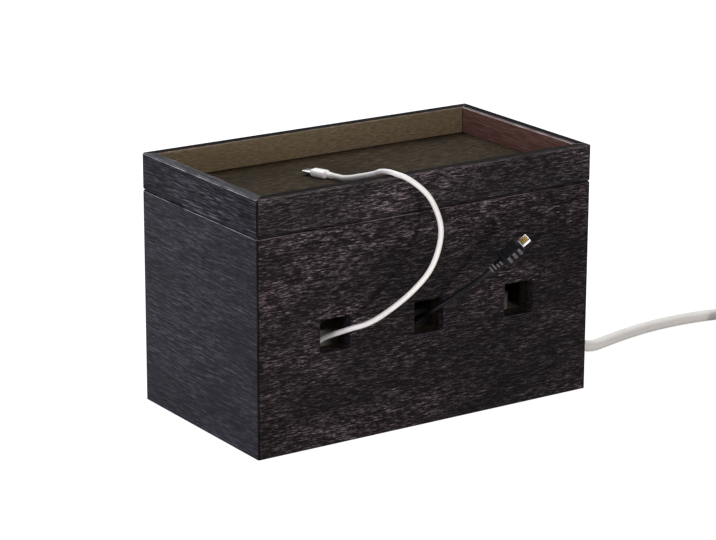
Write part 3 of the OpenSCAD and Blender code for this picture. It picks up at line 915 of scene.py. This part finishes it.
@dataclass(frozen=True)
class Studio:
    """The camera's stand, the pale floor and the soft lights."""

    azimuth: float = -33.688
    elevation: float = 16.547
    roll: float = 0.197
    distance: float = 1865.2
    aside: float = -6.18
    above: float = 1.53
    look_height: float = 83.5
    focal_pixels: float = 2855.4
    sensor: float = 36.0
    sight_m: float = 20
    floor_reach_m: float = 6
    floor_lift: float = 0.93
    fill: float = 0.11
    lamps: tuple[Softbox, ...] = (
        Softbox("key softbox", (-100, -400, 350), 240, 0.84, "#fff6f2"),
        Softbox("front lamp", (-20, -640, 16), 40, 2.1, "#fff6f0"),
        Softbox("side softbox", (-1300, -250, 120), 700, 14.2, "#f5f0ff"),
        Softbox("top softbox", (60, 600, 1500), 900, 24, "#ffffff"),
    )

    def place_camera(self, look: Vector) -> None:
        """Makes the camera and points it at the box.

        Args:
            look: the middle of the box.
        """
        az, el, roll = (math.radians(a) for a in (self.azimuth, self.elevation, self.roll))
        back = Vector((math.sin(az) * math.cos(el), -math.cos(az) * math.cos(el), math.sin(el)))
        level = Vector((math.cos(az), math.sin(az), 0))
        rise = back.cross(level)
        right = level * math.cos(roll) + rise * math.sin(roll)
        up = rise * math.cos(roll) - level * math.sin(roll)
        stand = look + back * self.distance + right * self.aside + up * self.above
        data = bpy.data.cameras.new("camera")
        data.sensor_fit = "HORIZONTAL"
        data.sensor_width = self.sensor
        data.lens = self.focal_pixels / IMAGE_WIDTH * self.sensor
        data.clip_end = self.sight_m
        camera = add_object("camera", data)
        camera.matrix_world = Matrix.Translation(stand * MM) @ Matrix((right, up, back)).transposed().to_4x4()
        bpy.context.scene.camera = camera

    @staticmethod
    def seen_directly(tree: Tree) -> Socket:
        """Tells what the camera sees, straight or in a shiny or clear surface, from what only lights the box.

        Args:
            tree: the floor's or the world's node tree.

        Returns:
            1 for camera, glossy and transmission rays, else 0.
        """
        kinds = ("Camera", "Glossy", "Transmission")
        seen, glossy, clear = (add_node(tree, "LightPath", out=f"Is {kind} Ray") for kind in kinds)
        for other in (glossy, clear):
            seen = add_node(tree, "Math", [seen, other], operation="MAXIMUM")
        return seen

    def lay_floor(self) -> None:
        """Lays a pale floor that keeps a faint shadow and looks white to the camera."""
        form = bmesh.new()
        bmesh.ops.create_grid(form, x_segments=8, y_segments=8, size=self.floor_reach_m)
        floor = add_object("floor", mesh_from("floor", form))
        material = bpy.data.materials.new("floor, matt white laminate")
        tree = clear_tree(material)
        add = partial(add_node, tree)
        plain = add("BsdfDiffuse", {"Color": linear("#8c8c8c")})
        dim = add("BsdfDiffuse", {"Color": linear("#8a8a8a")})
        lift = add("Emission", {"Color": (1, 1, 1, 1), "Strength": self.floor_lift})
        shown = add("AddShader", [dim, lift])
        add("OutputMaterial", {"Surface": add("MixShader", [self.seen_directly(tree), plain, shown])})
        floor.data.materials.append(material)

    def light_world(self) -> None:
        """Fills the studio with soft light and a white backdrop."""
        world = bpy.data.worlds.new("studio")
        bpy.context.scene.world = world
        tree = clear_tree(world)
        add = partial(add_node, tree)
        fill = add("Background", {"Color": linear("#f4f6fa"), "Strength": self.fill})
        white = add("Background", {"Color": (1, 1, 1, 1), "Strength": 1.0})
        add("OutputWorld", {"Surface": add("MixShader", [self.seen_directly(tree), fill, white])})

    def build(self) -> None:
        """Sets up the whole studio."""
        bpy.context.scene.view_settings.view_transform = "Standard"
        middle = Vector((0, 0, self.look_height))
        self.place_camera(middle)
        self.lay_floor()
        self.light_world()
        for lamp in self.lamps:
            lamp.hang(middle)


# ---- Wooden box and lid ----


class Run(Enum):
    """Which axes a board's grain runs along and across, and which its face looks along."""

    ALONG_X = (0, 2, 1)
    ALONG_Y = (1, 2, 0)
    FLAT = (0, 1, 2)


class WearAndLight(float, Enum):
    """How a face is marked: above 0 it is painted paler, partly rubbed wear and partly a painted highlight;
    below 0 stain has pooled on it, and on faces that face down and on rail tops the darkening is painted
    shade.
    """

    NONE = 0.0
    RUBBED_HIGHLIGHT = 1.0
    BRUSHED_HIGHLIGHT = 0.4
    HINT = -0.1
    UNDERSIDE_SHADE = -0.7
    JOINT = -0.9
    POOLED_AND_SHADE = -1.0


@dataclass(frozen=True)
class Board:
    """A board of the box: its CAD node, its piece, its grain and its finish.

    The stretch says which length of wood it was cut from, and rim the mark on the top of a rail, which on all
    but the left rail darkens it as painted shade.
    """

    node: str
    piece: str
    run: Run
    finish: StainedBamboo
    body: str
    slot: str
    stretch: float
    rim: WearAndLight = WearAndLight.NONE
    inside_from_m: float = 0.04
    stretch_step: Point = (311, 97, 53)

    def build(self, ease: float) -> None:
        """Makes the board with eased edges and its own stretch of grain.

        Args:
            ease: how wide the rounding of its edges is.
        """
        mesh = eased_mesh(self.node, self.piece, ease)
        steps = [(axis, step * self.stretch) for axis, step in zip(self.run.value, self.stretch_step)]
        places = (vertex.co / MM for vertex in mesh.vertices)
        grain = [place[axis] + step for place in places for axis, step in steps]
        mesh.attributes.new(GRAIN, "FLOAT_VECTOR", "POINT").data.foreach_set("vector", grain)
        mark_corners(mesh, WEAR_AND_LIGHT, (self.wear_and_light(face.normal) for face in mesh.polygons))
        # Only the tray's inner faces get the painted warm bounce light
        inside = -self.inside_from_m if self.body == "lid" else -math.inf
        mark_corners(mesh, INNER, (face.normal.xy.dot(face.center.xy) < inside for face in mesh.polygons))
        put(self.piece, mesh, self.finish, self.body, self.slot, self.node)

    def wear_and_light(self, normal: Vector) -> WearAndLight:
        """Tells how a face of the board has worn and where highlight and shade are painted on it.

        Args:
            normal: the face's normal.

        Returns:
            The mark of a flat face, or of one of the three facets of an arris.
        """
        flat, upright, low_facet, high_facet = 0.985, 0.2, 0.66, 0.75
        # The top of a lid rail takes the rail's rim mark, painted shade on all but the left rail
        if normal.z > flat and self.body == "lid" and self.run is not Run.FLAT:
            return self.rim
        if max(abs(v) for v in normal) > flat:
            return WearAndLight.NONE
        if abs(normal.z) < upright:
            return WearAndLight.POOLED_AND_SHADE
        # Facets that face down are darkened: painted shade
        if normal.z < 0:
            return WearAndLight.UNDERSIDE_SHADE
        # Facets that face up are painted paler: partly rubbed wear, partly a painted highlight
        if normal.z < low_facet:
            return WearAndLight.RUBBED_HIGHLIGHT
        if normal.z > high_facet:
            return WearAndLight.BRUSHED_HIGHLIGHT
        # The arris under the lid holds the stain and draws the joint as a dark line
        return WearAndLight.HINT if self.body == "lid" else WearAndLight.JOINT


@dataclass(frozen=True)
class WoodenBox:
    """Mitred box, liner boards, bottom and lift-off tray lid."""

    ease: float = 0.3

    def boards(self) -> list[Board]:
        """Lists the boards.

        Returns:
            The boards of the box and of its lid.
        """
        long_side = (Run.ALONG_X, BAMBOO_LONG, BAMBOO_LONG_RAIL)
        short_side = (Run.ALONG_Y, BAMBOO_SHORT, BAMBOO_SHORT_RAIL)
        # The tops of the front, back and right rails are darkened as painted shade
        sides = (("front", 77.5, *long_side, WearAndLight.POOLED_AND_SHADE), ("back", 2.0, *long_side, WearAndLight.POOLED_AND_SHADE),
                 ("left", 3.0, *short_side, WearAndLight.NONE), ("right", 4.0, *short_side, WearAndLight.POOLED_AND_SHADE))
        outer, inner = "stained_bamboo", "inner_bamboo"
        boards = []
        for k, (side, stretch, run, finish, rail, rim) in enumerate(sides):
            boards += [
                Board(f"{side}_panel", f"{side}_wall", run, finish, "box", outer, stretch),
                Board(f"{side}_liner", f"{side}_inner_board", run, BAMBOO_INSIDE, "box", inner, 5.0 + k),
                Board(f"lid_{side}_rail", f"lid_{side}_board", run, rail, "lid", outer, 9.0 + k, rim),
            ]
        return boards + [
            Board("bottom_panel", "bottom_board", Run.FLAT, BAMBOO_INSIDE, "box", inner, 14.0),
            Board("tray_floor", "tray_board", Run.FLAT, BAMBOO_INSIDE, "lid", inner, 15.0),
        ]

    def build(self) -> None:
        """Makes every board."""
        for board in self.boards():
            board.build(self.ease)


# ---- Power strip and chargers ----


@dataclass(frozen=True)
class PowerStrip:
    """The socket strip inside: housing, switch, screws and brass bars."""

    ease: float = 0.6
    bezel_ease: float = 0.4
    rocker_ease: float = 0.5

    def build(self) -> None:
        """Makes the housing and the rocker, and dresses what keeps its CAD shape."""
        for node, piece, ease, finish, body, slot in (
            ("strip_base", "strip_lower_shell", self.ease, STRIP_ABS, "box", "strip_plastic"),
            ("strip_cover", "strip_upper_shell", self.ease, STRIP_ABS, "box", "strip_plastic"),
            ("rocker_frame", "switch_bezel", self.bezel_ease, PLUG_BLACK, "box", "black_plastic"),
            ("rocker_switch", "switch_rocker", self.rocker_ease, ROCKER_RED, "rocker", "rocker_plastic"),
        ):
            put(piece, eased_mesh(node, piece, ease), finish, body, slot, node)
        dress(BRASS, "live_bus", "neutral_bus", "earth_bus")
        dress(STEEL, "rocker_pin", "strip_screws")


@dataclass(frozen=True)
class Charger:
    """A plug-in charger: gloss case, pins, port and board."""

    side: str
    ease: float = 1.4

    def build(self) -> None:
        """Makes the case and dresses what keeps its CAD shape."""
        case, shell = f"{self.side}_charger_case", f"{self.side}_charger_shell"
        put(shell, eased_mesh(case, shell, self.ease, rounds=4), CHARGER_ABS, "box", "charger_plastic", case)
        for finish, part in ((NICKEL, "pins"), (STEEL, "port"), (BOARD_GREEN, "board")):
            dress(finish, f"{self.side}_charger_{part}")


# ---- Leads ----


@dataclass(frozen=True)
class Move:
    """A step of a wound lead from one place in the coil's section to the next, over a span of degrees."""

    middle: float
    span: float
    out: float
    up: float


@dataclass(frozen=True)
class Winding:
    """A lead wound into a neat coil, turn on turn.

    Angles are degrees travelled since the lead reached the coil. Each move shifts the lead outwards and
    upwards over its span, so that turns lie beside and on each other.
    """

    centre: Point
    start_angle: float
    travel: float
    turn_way: int
    radius: float
    height: float
    moves: tuple[Move, ...]
    step: float = 12.0

    def section(self, travelled: float) -> tuple[float, float]:
        """Gives where the lead is in the coil's section.

        Args:
            travelled: degrees since the lead reached the coil.

        Returns:
            Its distance from the coil's axis and its height.
        """
        out, up = self.radius, self.height
        for move in self.moves:
            share = min(max((travelled - move.middle) / move.span + 0.5, 0), 1)
            eased = (1 - math.cos(math.pi * share)) / 2
            out += move.out * eased
            up += move.up * eased
        return out, up

    def points(self) -> list[Point]:
        """Gives the points between the coil's two ends.

        Returns:
            The points, about a step of degrees apart.
        """
        points = []
        count = round(self.travel / self.step)
        x, y, z = self.centre
        for k in range(1, count):
            travelled = self.travel * k / count
            out, up = self.section(travelled)
            angle = math.radians(self.start_angle + self.turn_way * travelled)
            points.append((x + out * math.cos(angle), y + out * math.sin(angle), z + up))
        return points

    def sections_at(self, angle: float) -> list[tuple[float, float]]:
        """Gives every turn's distance from the axis and height where a plane at an angle cuts the coil."""
        first = (self.turn_way * (angle - self.start_angle)) % 360
        return [self.section(first + 360 * k) for k in range(int((self.travel - first) // 360) + 1)]


def hull(points: Iterable[tuple[float, float]]) -> list[tuple[float, float]]:
    """Finds the convex outline of points in a plane.

    Args:
        points: the points.

    Returns:
        The outline's corners, anticlockwise.
    """
    ordered = sorted(set(points))
    outline: list[tuple[float, float]] = []
    for row in (ordered, ordered[::-1]):
        chain: list[tuple[float, float]] = []
        for p in row:
            while len(chain) > 1 and (
                (chain[-1][0] - chain[-2][0]) * (p[1] - chain[-2][1])
                - (chain[-1][1] - chain[-2][1]) * (p[0] - chain[-2][0])
            ) <= 0:
                chain.pop()
            chain.append(p)
        outline += chain[:-1]
    return outline


@dataclass(frozen=True)
class TapeTie:
    """A hook-and-loop band drawn tight round a coil's turns, thinner along its edges."""

    kind: str
    winding: Winding
    lead: float
    from_angle: float
    wide: float
    thick: float = 0.8
    edge_share: float = 0.6
    gap: float = 0.05
    rows: int = 7
    round_lead: int = 16

    def build(self) -> Piece:
        """Makes the band.

        Returns:
            The band.
        """
        mid_radius = (self.winding.section(360)[0] + self.winding.section(720)[0]) / 2
        half = math.degrees(self.wide / 2 / mid_radius)
        middle = self.from_angle + half
        angles = [2 * math.pi * k / self.round_lead for k in range(self.round_lead)]
        tight = hull((out + self.lead / 2 * math.cos(a), up + self.lead / 2 * math.sin(a))
                     for out, up in self.winding.sections_at(middle) for a in angles)
        mid_out, mid_up = (sum(values) / len(tight) for values in zip(*tight))
        form = bmesh.new()
        inside, outside = [], []
        for row in range(self.rows):
            turn = math.radians(middle - half + 2 * half * row / (self.rows - 1))
            way = Vector((math.cos(turn), math.sin(turn), 0))
            thick = self.thick * (self.edge_share if row in (0, self.rows - 1) else 1)
            for rings, away in ((inside, self.gap), (outside, thick)):
                ring = []
                for out, up in tight:
                    reach = math.hypot(out - mid_out, up - mid_up)
                    grown = (reach + away) / reach
                    place = Vector(self.winding.centre) + way * (mid_out + (out - mid_out) * grown)
                    place.z = self.winding.centre[2] + max(mid_up + (up - mid_up) * grown, self.gap)
                    ring.append(form.verts.new(place * MM))
                rings.append(ring)
        skin_rings(form, inside + outside[::-1], closed=True)
        return put(f"{self.kind}_coil_tie", form, TAPE, "box", "tie_band", f"{self.kind}_lead_tie")


@dataclass(frozen=True)
class Lead:
    """A lead as one tube on one smooth line, with the tie round its coil.

    Where it joins the box to the lid, flex_m holds the two ends of the stretch that bends; the script reads
    only whether it is set, and then leaves the tube on no body with its place baked into its mesh.
    """

    kind: ClassVar[str]
    sheath: ClassVar[LeadSheath]
    slot: ClassVar[str]
    far_end: ClassVar[str] = "connector"
    stiffness: ClassVar[str] = "medium"
    ring_step: ClassVar[float] = 2.0
    flex_m: ClassVar[tuple[Point, Point] | None] = None

    diameter: float
    length_m: float
    coil: Winding
    tie_from: float
    tie_wide: float = 7

    def tie(self) -> Piece:
        """Makes the tie round the coil."""
        return TapeTie(self.kind, self.coil, self.diameter, self.tie_from, self.tie_wide).build()

    def lay(self, carried: list[Piece | str], **stretches: Sequence[Point]) -> None:
        """Args:
            carried: the pieces and nodes that go with the lead; not used.
            **stretches: the route's points in order, by the last word of their CAD node's name.
        """
        line = smooth_line([point for points in stretches.values() for point in points], self.ring_step)
        nodes = [f"{self.kind}_lead_{stretch}" for stretch in stretches]
        body = None if self.flex_m else "box"
        tube = put(f"{self.kind}_lead", sweep(line, self.diameter / 2), self.sheath, body, self.slot, *nodes)
        if self.flex_m:
            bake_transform(tube)


@dataclass(frozen=True)
class ChargingLead(Lead):
    """A charging lead: its moulded plug stands in a charger, and a small connector ends it."""

    moulding: ClassVar[MouldedPlastic]
    moulding_slot: ClassVar[str]

    plug_at: Point = (0, 0, 0)
    drop: tuple[Point, ...] = ()
    rise: tuple[Point, ...] = ()

    def usb_plug(self) -> Piece:
        """Makes the plug's body and its ribbed relief.

        Returns:
            The two as one piece.
        """
        bench = Bench(self.plug_at, (0, 0, 1), (0, 1, 0))
        body = bench.loft(eased_stations(start=0, end=20, wide=8, high=15.6, corner=2.5, ease=1.1))
        relief = bench.loft([
            Station(19.4, 6.5, 8.5, 3), Station(20.6, 6.3, 7.6, 3),
            *ribbed_relief(start=21.2, end=29.5, small=6.2, large=self.diameter + 1, ribs=5, depth=0.35)])
        name = f"{self.kind}_usb"
        form = join_forms(body, relief)
        return put(f"{name}_body", form, self.moulding, "box", self.moulding_slot, f"{name}_plug")

    def connector(self) -> list[Piece]:
        """Makes the small connector's pieces and gives them."""
        raise NotImplementedError

    def build(self) -> None:
        """Makes the lead, its plug, its tie and its connector."""
        shell = f"{self.kind}_usb_shell"
        carried = [self.usb_plug(), *self.connector(), self.tie(), shell]
        dress(STEEL, shell)
        self.lay(carried, drop=self.drop, coil=self.coil.points(), rise=self.rise, **self.beyond())

    def beyond(self) -> dict[str, Sequence[Point]]:
        """Gives the stretches beyond the front."""
        return {}


@dataclass(frozen=True)
class WhiteLead(ChargingLead):
    """The white charging lead: out of the left charger, coiled, through the left hole and over the rim."""

    kind = "white"
    sheath = SHEATH_WHITE
    slot = "white_lead"
    stiffness = "limp"
    # It bends where it climbs from the hole to the rim, clear of what stays in the box
    flex_m = ((-0.030, 0, 0.092), (-0.0006, 0, 0.1312))
    moulding = PLUG_WHITE
    moulding_slot = "white_plug"

    diameter: float = 3.4
    length_m: float = 1.0
    coil: Winding = Winding(
        centre=(-62, 33, 9), start_angle=252.6, travel=1759.4, turn_way=1, radius=20.1, height=11.9, moves=(
            Move(45, 40, -1.0, -3.4), Move(375, 40, 0, -3.4), Move(705, 40, -3.4, 0), Move(1035, 40, 0, -3.4),
            Move(1365, 40, 3.4, 0), Move(1695, 40, 3.5, 0)))
    tie_from: float = 20
    plug_at: Point = (-50, -16, 62.5)
    drop: tuple[Point, ...] = (
        (-50, -16, 92), (-50, -16, 98), (-51, -13, 104), (-54, -7, 107.5), (-59, 1, 106.5), (-65, 8, 101),
        (-70, 11.5, 91), (-73, 12, 79), (-74.5, 12, 66), (-75, 12, 53), (-75, 12, 41), (-74.5, 12.2, 31),
        (-72.5, 13, 24), (-68, 13.8, 20.9))
    rise: tuple[Point, ...] = (
        (-81.1, 21, 10.7), (-80.9, 16, 13.5), (-80.6, 12.6, 20), (-80.2, 12, 30), (-79.8, 12.1, 40),
        (-79.6, 12.1, 46.5), (-79.4, 11.6, 49.4), (-79.2, 10, 52), (-79, 7.8, 53.5), (-78.8, 5, 54),
        (-78.5, -1, 53.2), (-78.1, -8, 52.2), (-77.6, -15, 51.8), (-77, -23, 51.8), (-76, -32, 52.6),
        (-75.5, -40, 55), (-74.5, -48, 59.5), (-73, -54, 63.8), (-71.5, -58, 66.8), (-69, -64, 70.2),
        (-66.4, -70, 73.2))
    loop: tuple[Point, ...] = (
        (-63.8, -76, 76.2), (-54.4, -83, 80.3), (-43.6, -89, 88), (-29.3, -93, 98.8), (-17.8, -95, 110.4),
        (-11.1, -95, 122.9), (-8.3, -94, 136), (-9.4, -91, 146.8), (-12.8, -86, 156.8), (-18.6, -80, 164),
        (-23.4, -75.6, 167.8), (-25.2, -71.3, 168.5))
    end: tuple[Point, ...] = (
        (-27, -67, 169.2), (-27.8, -61, 168.8), (-27.4, -54, 167), (-26.3, -47, 164.2),
        (-25.3, -37.8, 161.1), (-24.6, -27.5, 157.9), (-24.2, -19, 155.2), (-24, -12, 153.3),
        (-23.6, -6, 152), (-23.9, -0.3, 151.6), (-25.6, 4.4, 151.6))
    connector_turn: float = 109.9

    def beyond(self) -> dict[str, Sequence[Point]]:
        """Gives the loop in front of the box and the end in the tray."""
        return {"loop": self.loop, "end": self.end}

    def connector(self) -> list[Piece]:
        """Makes the small connector that lies in the tray.

        Returns:
            Its body and its tip.
        """
        turn = math.radians(self.connector_turn)
        bench = Bench(self.end[-1], (math.cos(turn), math.sin(turn), 0))
        body = bench.loft([
            *ribbed_relief(start=-1.5, end=2.6, small=self.diameter + 0.5, large=4.4, ribs=3, depth=0.25),
            Station(3.0, 4.8, 4.4, 2.1), Station(3.2, 6.2, 4.7, 2.1), Station(3.8, 7.3, 4.95, 2.1),
            Station(4.8, 7.7, 5.0, 2.2), Station(13.4, 7.7, 5.0, 2.2), Station(14.1, 7.5, 4.8, 2.1),
            Station(14.5, 7.0, 4.3, 1.9)])
        tip = bench.loft(eased_stations(start=14.4, end=21.3, wide=6.6, high=1.5, corner=0.6, ease=0.35))
        return [put("phone_connector_body", body, PLUG_WHITE, "lid", "white_plug", "phone_connector"),
                put("phone_connector_blade", tip, STEEL, "lid", "steel", "phone_connector_tip")]


@dataclass(frozen=True)
class BlackLead(ChargingLead):
    """The black lead: out of the right charger, coiled, and standing out of the middle hole."""

    kind = "black"
    sheath = SHEATH_BLACK
    slot = "black_lead"
    moulding = PLUG_BLACK
    moulding_slot = "black_plastic"

    diameter: float = 3.2
    length_m: float = 1.0
    coil: Winding = Winding(
        centre=(48, 33, 9), start_angle=63.8, travel=2308.5, turn_way=1, radius=20.4, height=11.2, moves=(
            Move(190, 60, -4.6, 0), Move(233, 40, 0, -3.2), Move(565, 40, 3.2, 0), Move(897, 40, 0, -3.2),
            Move(1229, 40, -3.2, 0), Move(1561, 40, 0, -3.2), Move(1893, 40, 3.2, 0), Move(2225, 40, 3.5, 0)))
    tie_from: float = -10
    plug_at: Point = (82, -16, 62.5)
    drop: tuple[Point, ...] = (
        (82, -16, 92), (82, -16, 98), (82, -12, 104), (81.5, -4, 107.5), (81, 6, 107), (80.5, 16, 102),
        (80, 26, 93), (79.5, 34, 82), (79, 40, 70), (78.5, 44, 57), (77.5, 46.5, 45), (75.5, 48.5, 34),
        (71, 50.2, 26), (64, 51, 21.4), (57, 51.3, 20.2))
    rise: tuple[Point, ...] = (
        (29, 21, 10.6), (28.8, 16, 13.2), (28.4, 12.6, 20), (27.8, 11.9, 30), (27.2, 12, 40),
        (26.6, 12, 46.5), (26.2, 11.5, 49.4), (25.6, 9.9, 52), (24.8, 7.7, 53.4), (23.8, 5, 53.9),
        (21.6, -1, 53.1), (19, -8, 52.1), (16.5, -15, 51.7), (11.8, -26, 51.8), (7, -36, 53),
        (4, -44, 57.4), (2, -51, 63.2), (1.2, -57, 67.6), (0.9, -64, 71.6), (1.4, -70, 75),
        (3.6, -75, 78.8), (6.8, -79, 82.2), (14.3, -85, 89.5), (21, -89.4, 95.2), (26.4, -92, 99.8),
        (31.3, -94, 104.2))
    connector_to: Point = (53.6, -103.2, 124.4)
    connector_roll: float = 30.0
    contact_across: tuple[float, ...] = (-1.65, -0.55, 0.55, 1.65)

    def connector(self) -> list[Piece]:
        """Makes the small connector with its ribbed relief and grip.

        Returns:
            Its body, shell, tongue and contacts.
        """
        start = self.rise[-1]
        bench = Bench(start, tuple(Vector(self.connector_to) - Vector(start)), roll=self.connector_roll)
        relief, relief_end, relief_ribs = -1.0, 8.6, 4
        pitch = (relief_end - relief) / relief_ribs
        first_rib, rib_pitch, rib_long = 11.2, 4.1, 2.4
        stations = [
            *ribbed_relief(relief, relief_end, self.diameter + 1.0, large=5.8, ribs=relief_ribs, depth=0.75),
            Station(8.7, 9.6, 6.8, 1.6), Station(9.1, 10.2, 7.0, 1.6), Station(9.9, 10.2, 7.0, 1.6),
            Station(10.1, 7.6, 6.8, 1.4)]
        # Three finger ribs along each narrow side
        ribs = [first_rib + rib_pitch * k for k in range(3)]
        for rib in ribs:
            stations += [Station(rib, 7.6, 6.8, 1.4), Station(rib + 0.2, 10.4, 6.9, 1.6),
                         Station(rib + 2.2, 10.4, 6.9, 1.6), Station(rib + rib_long, 7.6, 6.8, 1.4)]
        stations += [Station(22.9, 8.2, 6.7, 1.4), Station(23.6, 7.9, 6.2, 1.4), Station(23.9, 7.4, 5.0, 1.4)]
        body = mesh_from("micro_connector_body", bench.loft(stations), smooth_to=25)
        ridges = [(rib, rib + rib_long) for rib in ribs]
        ridges += [(relief + pitch * k, relief + pitch * (k + 0.5)) for k in range(relief_ribs)]
        # The rib tops are painted paler: partly rubbed wear, partly a painted highlight
        mark_corners(body, WEAR_AND_LIGHT, bench.ridge_highlight_marks(body, ridges, grip_from=4.0))
        shell = bench.loft(eased_stations(start=23.6, end=30.2, wide=6.8, high=1.5, corner=0.6, ease=0.25))
        # The tongue lies between the shell's folds, with its contacts on top
        tongue = bench.raised(0.7).loft(
            eased_stations(start=24.6, end=30.0, wide=4.8, high=0.24, corner=0.1, ease=0.1), per_corner=2)
        strip = eased_stations(start=25.0, end=29.6, wide=0.4, high=0.14, corner=0.05, ease=0.05)
        contacts = join_forms(*(
            bench.raised(0.82, across).loft(strip, per_corner=2) for across in self.contact_across))
        return [put("micro_connector_body", body, PLUG_BLACK, "box", "black_plastic", "micro_connector"),
                put("micro_connector_shell", shell, STEEL, "box", "steel", "micro_connector_tip"),
                put("micro_connector_tongue", tongue, PLUG_BLACK, "box", "black_plastic"),
                put("micro_connector_contacts", contacts, BRASS, "box", "brass")]


@dataclass(frozen=True)
class MainsLead(Lead):
    """The mains lead: out of the strip and the right wall, over the floor and into a coil with its plug."""

    kind = "mains"
    sheath = SHEATH_MAINS
    slot = "mains_rubber"
    far_end = "plug"
    ring_step = 4.0

    diameter: float = 8.0
    length_m: float = 1.4
    coil: Winding = Winding(
        centre=(320, -62, 0), start_angle=94, travel=1384, turn_way=-1, radius=56.1, height=4.0, moves=(
            Move(51, 75, -8.1, 0), Move(375, 75, -8, 0), Move(699, 75, 0, 8), Move(1023, 75, 8, 0),
            Move(1337, 75, 0, 8), Move(1359, 50, -4.1, 0)))
    tie_from: float = 255
    tie_wide: float = 16
    run: tuple[Point, ...] = (
        (132, -16, 22), (138, -16, 22), (146, -15.9, 21), (153.7, -15.4, 17.9), (160.6, -14.7, 13.2),
        (167.4, -13.7, 8.4), (175, -12.2, 5.2), (183.5, -10.2, 4), (191, -8.3, 4), (199, -6.2, 4),
        (208, -4, 4), (217, -2, 4), (231, 0.6, 4), (245, 2.2, 4), (259, 2.8, 4), (273, 2.3, 4),
        (287, 0.8, 4), (300, -1.7, 4), (316, -6, 4))
    tail: tuple[Point, ...] = (
        (282, -40, 20), (288.6, -31.7, 20), (296.8, -24.9, 20.2), (304.5, -20.6, 21), (313, -18.4, 22.5),
        (321.8, -18.2, 24.6), (330.3, -20.2, 27.5), (338.1, -24.2, 30.1), (344.8, -29.9, 32.1),
        (349.8, -37.1, 33.4), (353, -45.3, 34), (354, -54, 34))

    def build(self) -> None:
        """Makes the lead, its reliefs, its tie and its plug."""
        pieces = [self.gland(), self.plug()]
        dress(NICKEL, "mains_plug_pins")
        carried = [*pieces, self.tie(), "mains_plug_pins"]
        self.lay(carried, run=self.run, coil=self.coil.points(), tail=self.tail)

    def gland(self) -> Piece:
        """Makes the tapered, ribbed relief that leaves the strip.

        Returns:
            The relief.
        """
        form = Bench((104, -16, 22), (1, 0, 0)).loft([
            Station(-3.2, 15.5, 15.5, 7.7), Station(-2.0, 15.5, 15.5, 7.7),
            *turned((-1.9, 12), (0, 12), (0.1, 14), (2.6, 14), (3.2, 13.2)),
            *ribbed_relief(start=4, end=27.4, small=13, large=10.6, ribs=7, depth=0.8),
            *turned((28, 9.6))], per_corner=9)
        return put("strip_gland", form, SHEATH_MAINS, "box", "mains_rubber", "mains_gland")

    def plug(self) -> Piece:
        """Makes the round mains plug, lying on the coil.

        Returns:
            The plug's body.
        """
        form = Bench(self.tail[-1], (0, -1, 0)).loft([
            *ribbed_relief(start=0, end=19, small=10, large=15.5, ribs=6, depth=0.7),
            *turned((20.5, 16.6), (22, 19.5), (24, 22.8), (28, 26), (33, 29.6), (38, 32.8), (41, 35),
                    (42.5, 35.8), (44, 36), (60, 36), (62.6, 35.6), (63.6, 34.6), (64, 33))], per_corner=13)
        return put("mains_plug_body", form, SHEATH_MAINS, "box", "mains_rubber", "mains_plug")


def main() -> None:
    """Builds the scene."""
    logging.basicConfig(level=logging.INFO, format="%(name)s: %(message)s", stream=sys.stdout)
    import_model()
    Studio().build()
    WhiteLead().build()
    BlackLead().build()
    MainsLead().build()
    WoodenBox().build()
    PowerStrip().build()
    for side in ("left", "right"):
        Charger(side).build()


if __name__ == "__main__":
    main()
